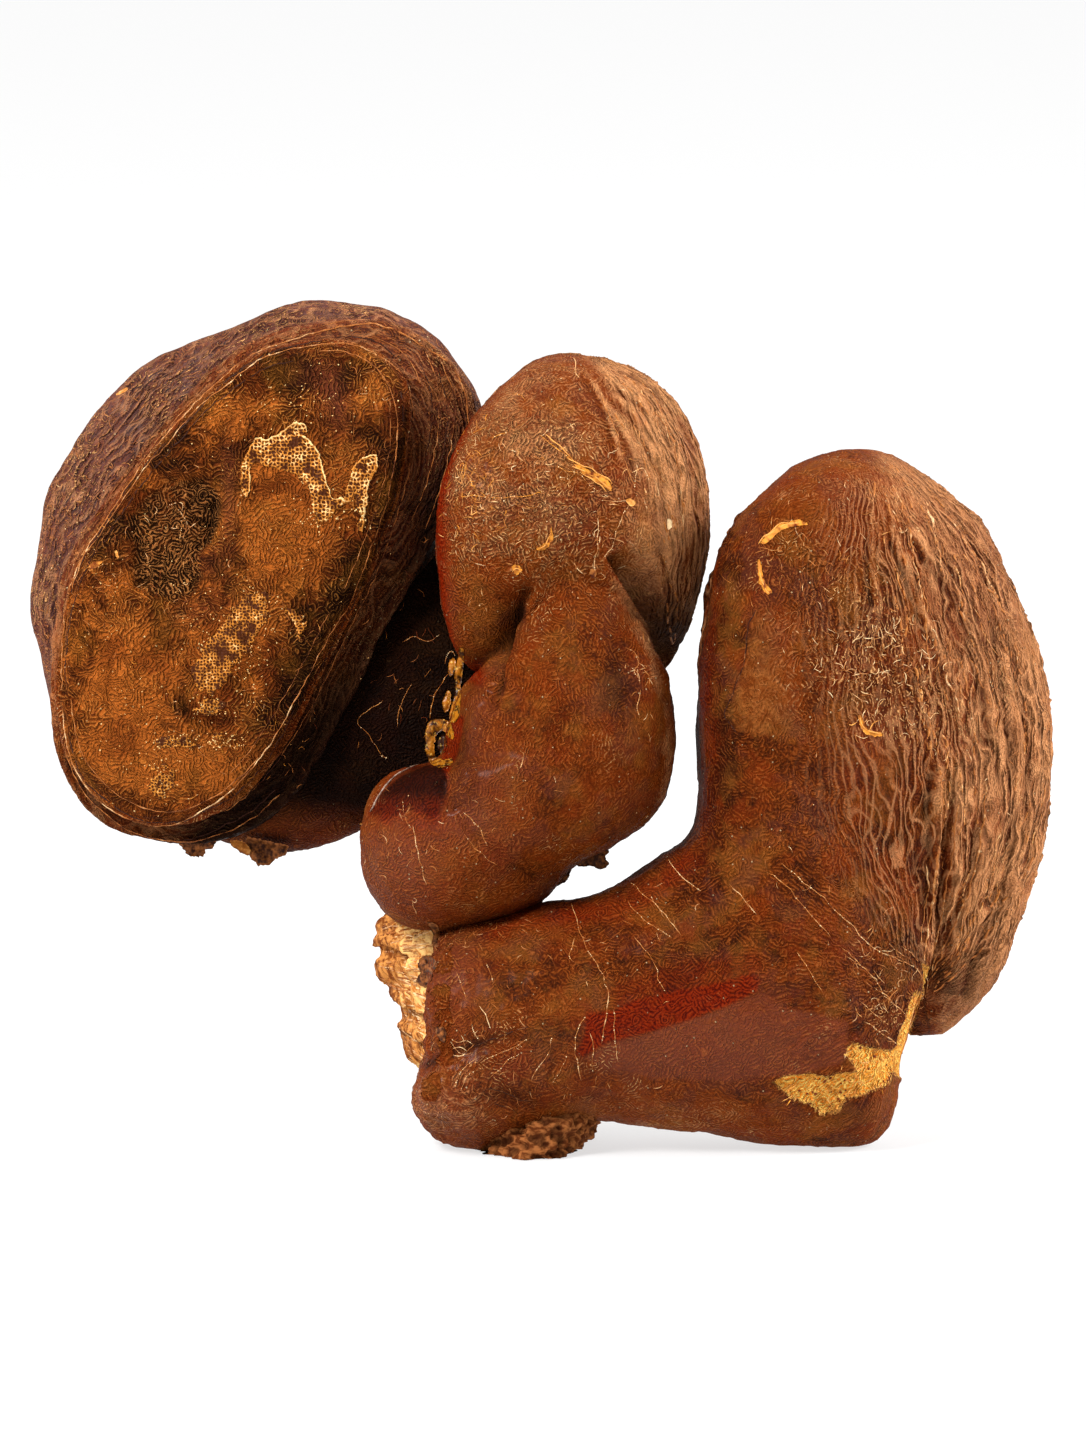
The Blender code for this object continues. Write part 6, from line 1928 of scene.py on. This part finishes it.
def details():
    rng = np.random.default_rng(11)
    skin_of = {"right": right, "middle": middle, "left": cap_l, "stem": stem_l}
    cover = {k: Cover(s) for k, s in skin_of.items()}
    everything = Cover(*skins)

    hyphae, ridges = Bits(), Bits()
    for i, (r, tone, gold, line) in enumerate(THREADS):
        strand(hyphae, everything, line, 0.62 * r, 0.78 * tone, seed=i + 1, gold=min(gold * 1.5 + 0.15, 1), wob=1.3, sides=4, vary=0.3, beads=0.9 * r)
    for body, count, x, y, sx, sy, angle, scatter, (lo, hi), r, tone, gold in CURLS:
        for i in range(count):
            cx, cy = x + sx * rng.normal(), y + sy * rng.normal()
            a = math.radians(angle + scatter * rng.normal() + (180 if rng.random() < 0.5 else 0))
            line = curl(cx, cy, a, rng.uniform(lo, hi), rng)
            fat = r * rng.uniform(0.7, 1.25)
            bright = tone + 0.16 * rng.normal()
            strand(hyphae, cover[body], line, fat, bright, seed=i * 0.37 + x, wob=0.0, step=1.7, gold=gold * rng.uniform(0, 2), ends=2.0)
    for body, count, region, (top, bottom), (lo, hi), r, tone in FLOWS:
        def field(px, py):
            v = poles(np.array([[px, py, 0.0]]), top, bottom)[0]
            return v[0], v[1]
        low, high = np.min(region, 0), np.max(region, 0)
        made = 0
        while made < count:
            x, y = rng.uniform(low[0], high[0]), rng.uniform(low[1], high[1])
            if inside(np.array([[x, y, 0.0]]), region)[0] < 0:
                continue
            made += 1
            line = drift(x, y, field, rng.uniform(lo, hi), rng, 0.10)
            strand(ridges, cover[body], line, r * rng.uniform(0.4, 1.3), tone + 0.07 * rng.normal(), seed=made + x * 0.1, wob=2.2, step=2.5, sink=-0.5, gold=rng.uniform(0.1, 0.5), ends=7.0, vary=0.2)
    for body, (x, y, sx, sy) in SCATTER.items():
        for i in range(80):
            bead(hyphae, cover[body], x + sx * rng.normal(), y + sy * rng.normal(), rng.uniform(0.45, 0.8), rng.uniform(0.5, 0.95), 0.2)
    for i, (r, tone, gold, line) in enumerate(CRESTS):
        strand(ridges, everything, line, r, tone, seed=i * 2.3, wob=1.6, sides=5, gold=gold, sink=-0.25, ends=6.0, vary=0.35)
    # painted shadow: dark strands in the gaps between the left cap's lips
    for i, (r, line) in enumerate(GAP_SHADOWS):
        strand(ridges, cover["left"], line, r, -0.15, seed=i + 0.7, wob=1.2, sides=4, sink=-0.35, ends=6.0, vary=0.25)
    for r, line in OUTLINES:
        strand(ridges, cover["right"], line, r, -0.02, seed=r + line[0][0], wob=1.2, sides=4, sink=-0.35, ends=6.0, vary=0.3)
    for r, tone, line in RIMS:
        strand(hyphae, cover["left"], line, 0.72 * r, tone - 0.06, seed=r * 10 + tone, wob=1.0, sides=5, gold=0.15, sink=0.0, vary=0.5)
    hyphae.finish("hyphae", bit_material("hyphae"), "crust")
    ridges.finish("ridges", bit_material("ridges"), "crust")

    pores = Bits()
    for i, polygon in enumerate(HONEY):
        if i == 0:
            honeycomb(pores, cover["left"], polygon, seed=1, fringe=1.3, bare=1.5)
        else:
            honeycomb(pores, cover["left"], polygon, cell=3.3, seed=i + 1, fringe=3.4, rim=0.1, tone=0.7 if i == 1 else 0.85, bare=9.0 if i > 2 else 5.0)
    for count, x, y, sx, sy, turn, r, tone in PORE_BEADS:
        c, s_ = math.cos(math.radians(turn)), math.sin(math.radians(turn))
        for _ in range(count):
            u, v = sx * rng.normal() * 0.8, sy * rng.normal() * 0.8
            bead(pores, cover["left"], x + u * c + v * s_, y - u * s_ + v * c, r * rng.uniform(0.7, 1.2), tone * rng.uniform(0.75, 1.15), 0.3)
    pores.finish("torn_pores", honey_material("torn_pores"), "pore_cap")

    flakes = Bits()
    on = everything
    scrap(flakes, on, [(759, 544), (764, 538), (770, 531), (779, 526), (788, 523), (797, 521), (805, 526), (797, 527), (787, 529), (778, 533), (771, 539), (764, 545)], 1.2, 0.6, 1, gold=1.0, ragged=1.7, spots=0.6, mesh=1.8)
    scrap(flakes, on, [(756, 562), (759, 563), (761, 574), (764, 584), (770, 592), (765, 595), (760, 588), (757, 577)], 1.2, 0.6, 2, gold=1.0, ragged=1.7, spots=0.6, mesh=1.8)
    scrap(flakes, on, [(856, 716), (860, 717), (863, 726), (870, 731), (879, 732), (880, 736), (869, 736), (860, 731)], 1.2, 0.6, 3, gold=1.0, ragged=1.7, spots=0.6, mesh=1.8)
    scrap(flakes, on, [(574, 466), (583, 469), (592, 474), (604, 479), (611, 488), (610, 493), (603, 488), (594, 484), (588, 479), (580, 474)], 1.3, 0.62, 4, gold=1.0, ragged=1.7, spots=0.6, mesh=1.8)
    scrap(flakes, on, [(513, 567), (519, 567), (523, 573), (517, 576), (512, 572)], 1.2, 0.55, 5, gold=1.0, ragged=1.7, spots=0.6, mesh=1.6)
    scrap(flakes, on, [(537, 550), (544, 545), (549, 538), (551, 529), (553, 540), (547, 549), (540, 552)], 1.2, 0.55, 6, gold=1.0, ragged=1.7, spots=0.6, mesh=1.6)
    scrap(flakes, on, [(625, 502), (630, 500), (635, 504), (631, 508)], 1.4, 0.75, 7, gold=0.8, ragged=0.5, mesh=1.5)
    scrap(flakes, on, [(667, 520), (671, 521), (671, 528), (667, 530)], 1.6, 0.95, 8, gold=0.1, ragged=0.5, mesh=1.5)
    scrap(flakes, on, [(591, 570), (596, 571), (595, 578), (591, 578), (589, 574)], 0.9, 0.4, 9, gold=0.35, ragged=1.2, mesh=1.5, spots=0.6)
    scrap(flakes, on, [(114, 394), (120, 390), (126, 386), (126, 390), (119, 394)], 1.2, 0.7, 10, gold=0.6, ragged=0.9, mesh=1.6)
    scrap(flakes, on, [(90, 566), (97, 562), (104, 562), (98, 567), (93, 569)], 1.1, 0.45, 11, gold=0.85, ragged=1.3, mesh=1.6, spots=0.6)
    scrap(flakes, on, [(116, 551), (119, 552), (120, 558), (117, 556)], 1.0, 0.55, 12, gold=0.8, ragged=0.8, mesh=1.5, spots=0.5)
    for i, line in enumerate([
        [(758, 546), (766, 536), (776, 528), (788, 524), (803, 524)], [(764, 540), (780, 529), (798, 524)],
        [(757, 563), (759, 576), (765, 589), (769, 594)], [(857, 717), (862, 727), (871, 733), (879, 733)],
        [(566, 460), (576, 466), (590, 471), (603, 478), (611, 486)], [(572, 468), (588, 477), (602, 485), (611, 493)],
        [(580, 474), (594, 484), (607, 493)], [(539, 551), (546, 545), (550, 534)], [(512, 573), (518, 569), (523, 574)],
        [(545, 437), (556, 447), (566, 456), (574, 464)], [(855, 722), (850, 727), (846, 725)], [(866, 730), (870, 724), (876, 720)],
    ]):
        strand(flakes, on, line, 0.8, 0.95, seed=i + 400, wob=1.6, gold=0.85, sink=1.1, vary=0.5)
    # torn bits hanging under the left cap and under the middle foot
    scrap(flakes, on, [(178, 838), (196, 836), (214, 838), (212, 848), (205, 851), (203, 857), (192, 857), (184, 852)], 4, 0.18, 21, depth=66, thick=10, ragged=2.2, edge_tone=0.12)
    scrap(flakes, on, [(230, 841), (243, 842), (250, 850), (248, 856), (240, 853), (232, 847)], 2, 0.5, 22, gold=0.7, depth=80, thick=5, ragged=1.2, mesh=2.0)
    scrap(flakes, on, [(246, 838), (268, 842), (286, 846), (284, 855), (276, 859), (268, 865), (257, 866), (250, 858), (247, 850)], 3, 0.16, 23, depth=86, thick=9, ragged=2.2, edge_tone=0.3)
    scrap(flakes, on, [(282, 842), (300, 838), (322, 832), (346, 818), (352, 806), (330, 800), (300, 815), (284, 828)], 3, 0.24, 24, depth=96, thick=10, ragged=2.0)
    scrap(flakes, on, [(352, 812), (358, 815), (364, 822), (362, 826), (355, 821)], 1.6, 0.75, 25, gold=0.85, depth=92, thick=3, ragged=0.7, mesh=1.6)
    scrap(flakes, on, [(586, 846), (600, 842), (609, 851), (605, 856), (609, 864), (601, 869), (590, 866), (580, 866), (572, 860)], 3, 0.14, 31, depth=6, thick=8, ragged=1.6)
    scrap(flakes, on, [(548, 868), (562, 862), (572, 866), (570, 874), (566, 882), (557, 886), (550, 892), (540, 892), (542, 880)], 3, 0.16, 32, depth=8, thick=8, ragged=1.6)
    # brown scraps of crust over the torn base
    scrap(flakes, on, [(421, 958), (430, 955), (438, 962), (434, 970), (431, 978), (424, 987), (417, 980), (420, 972), (418, 965)], 3.2, 0.16, 41, ragged=1.4, mesh=2.0)
    scrap(flakes, on, [(436, 1026), (444, 1025), (447, 1031), (445, 1040), (440, 1037), (437, 1032)], 3.0, 0.14, 42, ragged=1.0, mesh=1.8)
    scrap(flakes, on, [(428, 922), (438, 925), (440, 938), (437, 950), (432, 944), (433, 934)], 3.0, 0.22, 43, ragged=1.0, mesh=2.0)
    flakes.finish("flakes", bit_material("flakes"), "crust")
    scabs = Bits()
    edge = cover["right"]
    for k, flake in enumerate([
        [(452, 924), (440, 926), (433, 932), (437, 938), (434, 944), (441, 949), (452, 948)],
        [(452, 948), (440, 950), (433, 956), (436, 962), (431, 968), (440, 972), (452, 968)],
        [(450, 984), (438, 984), (428, 990), (434, 996), (431, 1002), (440, 1006), (450, 1004)],
        [(450, 1008), (440, 1008), (435, 1015), (441, 1020), (437, 1027), (446, 1030), (452, 1024)],
        [(450, 1034), (441, 1036), (438, 1044), (442, 1050), (436, 1058), (444, 1064), (454, 1058)],
        [(438, 1070), (428, 1074), (421, 1084), (424, 1096), (434, 1098), (442, 1086)],
    ]):
        scrap(scabs, edge, flake, 1.0, 0.27, 51 + k, ragged=2.2, mesh=2.2, edge_tone=-0.12, spots=0.05)
    scabs.finish("crust_edge", crust, "crust", (("torn", -20.0), ("tan", 0.16), ("scrib", 0.1), ("crease_shade", 0.12)), (("along", (0.0, 0.0, 1.0)), ("across", (1.0, 0.0, 0.0))))

    # the fibres of the torn base, of the torn patch and of the strip above it
    fibres = Bits()
    base_cover = Cover(base)
    for i in range(150):
        y = rng.uniform(915, 1070)
        x0 = rng.uniform(408, 440)
        slope = np.interp(y, [915, 960, 1000, 1030, 1070], [-0.35, 0.0, 0.35, 0.5, 0.55]) + rng.normal(0, 0.1)
        length = rng.uniform(12, 44)
        line = [(x0 - length * t, y - slope * length * t + 1.5 * math.sin(3 * t + i)) for t in (0, 0.35, 0.7, 1.0)]
        strand(fibres, base_cover, line, rng.uniform(0.6, 1.25), rng.uniform(0.62, 1.0) - 0.3 * smooth(405, 385, line[-1][0]), seed=i, wob=0.9, gold=rng.uniform(0.05, 0.4), sink=0.0, gaps=0.8)
    for i in range(120):
        x, y = rng.uniform(772, 892), rng.uniform(1040, 1110)
        if not inside(np.array([[x, y, 0.0]]), TORN_PATCH)[0] > 1.0:
            continue
        line = curl(x, y, math.radians(150 + 30 * rng.normal()), rng.uniform(6, 14), rng)
        strand(fibres, cover["right"], line, rng.uniform(0.5, 0.95), rng.uniform(0.6, 1.1), seed=i, wob=0.3, gold=rng.uniform(0.7, 1.0), sink=0.1)
    for i in range(150):
        x, y = rng.uniform(772, 892), rng.uniform(1040, 1110)
        if inside(np.array([[x, y, 0.0]]), TORN_PATCH)[0] > 0.5:
            dark = rng.random() < 0.35
            bead(fibres, cover["right"], x, y, rng.uniform(0.9, 1.9), 0.05 if dark else rng.uniform(0.6, 1.0), 0.9)
    for i in range(26):
        y = rng.uniform(995, 1066)
        x = np.interp(y, [992, 1020, 1050, 1075], [917, 912, 903, 899]) + rng.normal(0, 2)
        line = [(x + 3, y - 9), (x, y), (x - 3, y + 10)]
        strand(fibres, cover["right"], line, rng.uniform(0.5, 0.9), rng.uniform(0.5, 1.0), seed=i, wob=0.6, gold=rng.uniform(0.5, 0.9))
    fibres.finish("fibres", bit_material("fibres"), "torn_flesh")

    # golden crust between the left stem and the middle one, and a pale line on the foot's rim that is a painted
    # highlight
    amber = Bits()
    for k, outline in enumerate([
        [(428, 724), (435, 719), (446, 720), (453, 727), (454, 739), (449, 737), (443, 731), (437, 735), (434, 746), (436, 756), (444, 760), (451, 757), (453, 763), (444, 767), (433, 765), (427, 757), (425, 745), (425, 733)],
        [(449, 718), (452, 704), (455, 690), (454, 674), (457, 660), (460, 648), (464, 652), (463, 668), (461, 684), (461, 700), (459, 716), (454, 723)],
        [(438, 738), (443, 735), (447, 740), (446, 750), (441, 754), (438, 748)],
        [(443, 700), (448, 690), (451, 696), (449, 708), (444, 712)],
        [(448, 666), (452, 658), (455, 662), (453, 674), (449, 676)],
    ]):
        scrap(amber, everything, outline, 2.6, 0.5 - 0.4 * (k == 2), 81 + k, ragged=1.3, mesh=1.8)
    amber.finish("amber_crust", amber_material("amber_crust"), "crust")
    # painted highlight: a pale strand along the rim of the middle foot
    lip = Bits()
    strand(lip, Cover(middle), [(371, 812), (377, 801), (384, 789), (394, 778), (408, 769), (423, 764), (432, 765)], 1.3, 0.62, seed=3, wob=0.6, sides=6, sink=0.5)
    lip.finish("rim_highlight", rim_highlight_material("rim_highlight"), "crust")


# grey-pale material of the painted rim highlight
def rim_highlight_material(name):
    g = Graph(name)
    n = g.noise(5.0, 2, 0.5)
    g.put(g.bsdf.inputs["Base Color"], g.mix(g.step(n, 0.3, 0.7), srgb(104, 70, 54), srgb(176, 146, 126)))
    g.bsdf.inputs["Roughness"].default_value = 0.35
    return g.mat


# ---- build -------------------------------------------------------------------
crust = crust_material("crust")
pore_crust = crust_material("pore_crust", pores=True)
flesh = flesh_material("flesh")

skins = [right_body(), middle_body(), left_cap(), left_stem(), base_body()]
right, middle, cap_l, stem_l, base = skins
details()
right.finish(crust, "crust", ["right_cap", "right_stem"])
middle.finish(crust, "crust", ["middle_cap", "middle_stem"])
cap_l.finish(pore_crust, "pore_cap", ["left_cap"])
stem_l.finish(crust, "crust", ["left_stem"])
base.finish(flesh, "torn_flesh", ["base"])

# ---- stage -------------------------------------------------------------------
floor_mesh = bpy.data.meshes.new("floor")
floor_mesh.from_pydata([(-6, -6, 0), (6, -6, 0), (6, 6, 0), (-6, 6, 0)], [], [(0, 1, 2, 3)])
floor = bpy.data.objects.new("floor", floor_mesh)
bpy.context.scene.collection.objects.link(floor)
floor.location.z = -0.0001
pale = bpy.data.materials.new("pale_floor")
pale.use_nodes = True
pb = pale.node_tree.nodes["Principled BSDF"]
pb.inputs["Base Color"].default_value = (0.3, 0.3, 0.3, 1)
pb.inputs["Roughness"].default_value = 0.9
pb.inputs["Emission Color"].default_value = (1, 1, 1, 1)
pb.inputs["Emission Strength"].default_value = 0.68
floor_mesh.materials.append(pale)

scene = bpy.context.scene
world = bpy.data.worlds.new("studio")
scene.world = world
world.use_nodes = True
wt = world.node_tree
sky = wt.nodes["Background"]
# white behind and above the mushroom, a darker room in front of it
wc = wt.nodes.new("ShaderNodeTexCoord")
split = wt.nodes.new("ShaderNodeSeparateXYZ")
wt.links.new(wc.outputs["Generated"], split.inputs[0])
room = wt.nodes.new("ShaderNodeMapRange")
room.interpolation_type = "SMOOTHSTEP"
room.inputs["From Min"].default_value = -0.75
room.inputs["From Max"].default_value = 0.45
room.inputs["To Min"].default_value = 0.10
room.inputs["To Max"].default_value = 1.0
wt.links.new(split.outputs["Y"], room.inputs["Value"])
seen = wt.nodes.new("ShaderNodeLightPath")
lift = wt.nodes.new("ShaderNodeMath")
lift.operation = "MAXIMUM"
wt.links.new(room.outputs["Result"], lift.inputs[0])
wt.links.new(seen.outputs["Is Camera Ray"], lift.inputs[1])
wt.links.new(lift.outputs[0], sky.inputs[1])
sky.inputs[0].default_value = (1, 1, 1, 1)


def area(name, place, aim, size, power, colour=(1, 1, 1)):
    light = bpy.data.lights.new(name, "AREA")
    light.shape = "RECTANGLE"
    light.size, light.size_y = size
    light.energy = power
    light.color = colour
    made = bpy.data.objects.new(name, light)
    scene.collection.objects.link(made)
    made.location = place
    made.rotation_euler = (Vector(aim) - Vector(place)).to_track_quat("-Z", "Y").to_euler()
    return made


area("key", (-0.6, -0.6, 0.8), (0, 0, 0.06), (0.4, 0.4), 17)
area("fill", (0.95, 0.05, 0.5), (0, 0, 0.05), (0.5, 0.5), 13)

# ---- camera ------------------------------------------------------------------
DISTANCE = 2.0
focus = to_world(np.array([[543.0, 724.0, 30.0]]))[0]
cam = bpy.data.cameras.new("camera")
cam.sensor_fit = "VERTICAL"
cam.sensor_height = 36.0
cam.lens = 36.0 * DISTANCE / (1448 * GRID)
cam.clip_end = 30
camera = bpy.data.objects.new("camera", cam)
scene.collection.objects.link(camera)
camera.location = Vector(focus) - Vector((0, math.cos(LEAN), -math.sin(LEAN))) * DISTANCE
camera.rotation_euler = (math.radians(90) - LEAN, 0, 0)
scene.camera = camera
scene.view_settings.view_transform = "Standard"
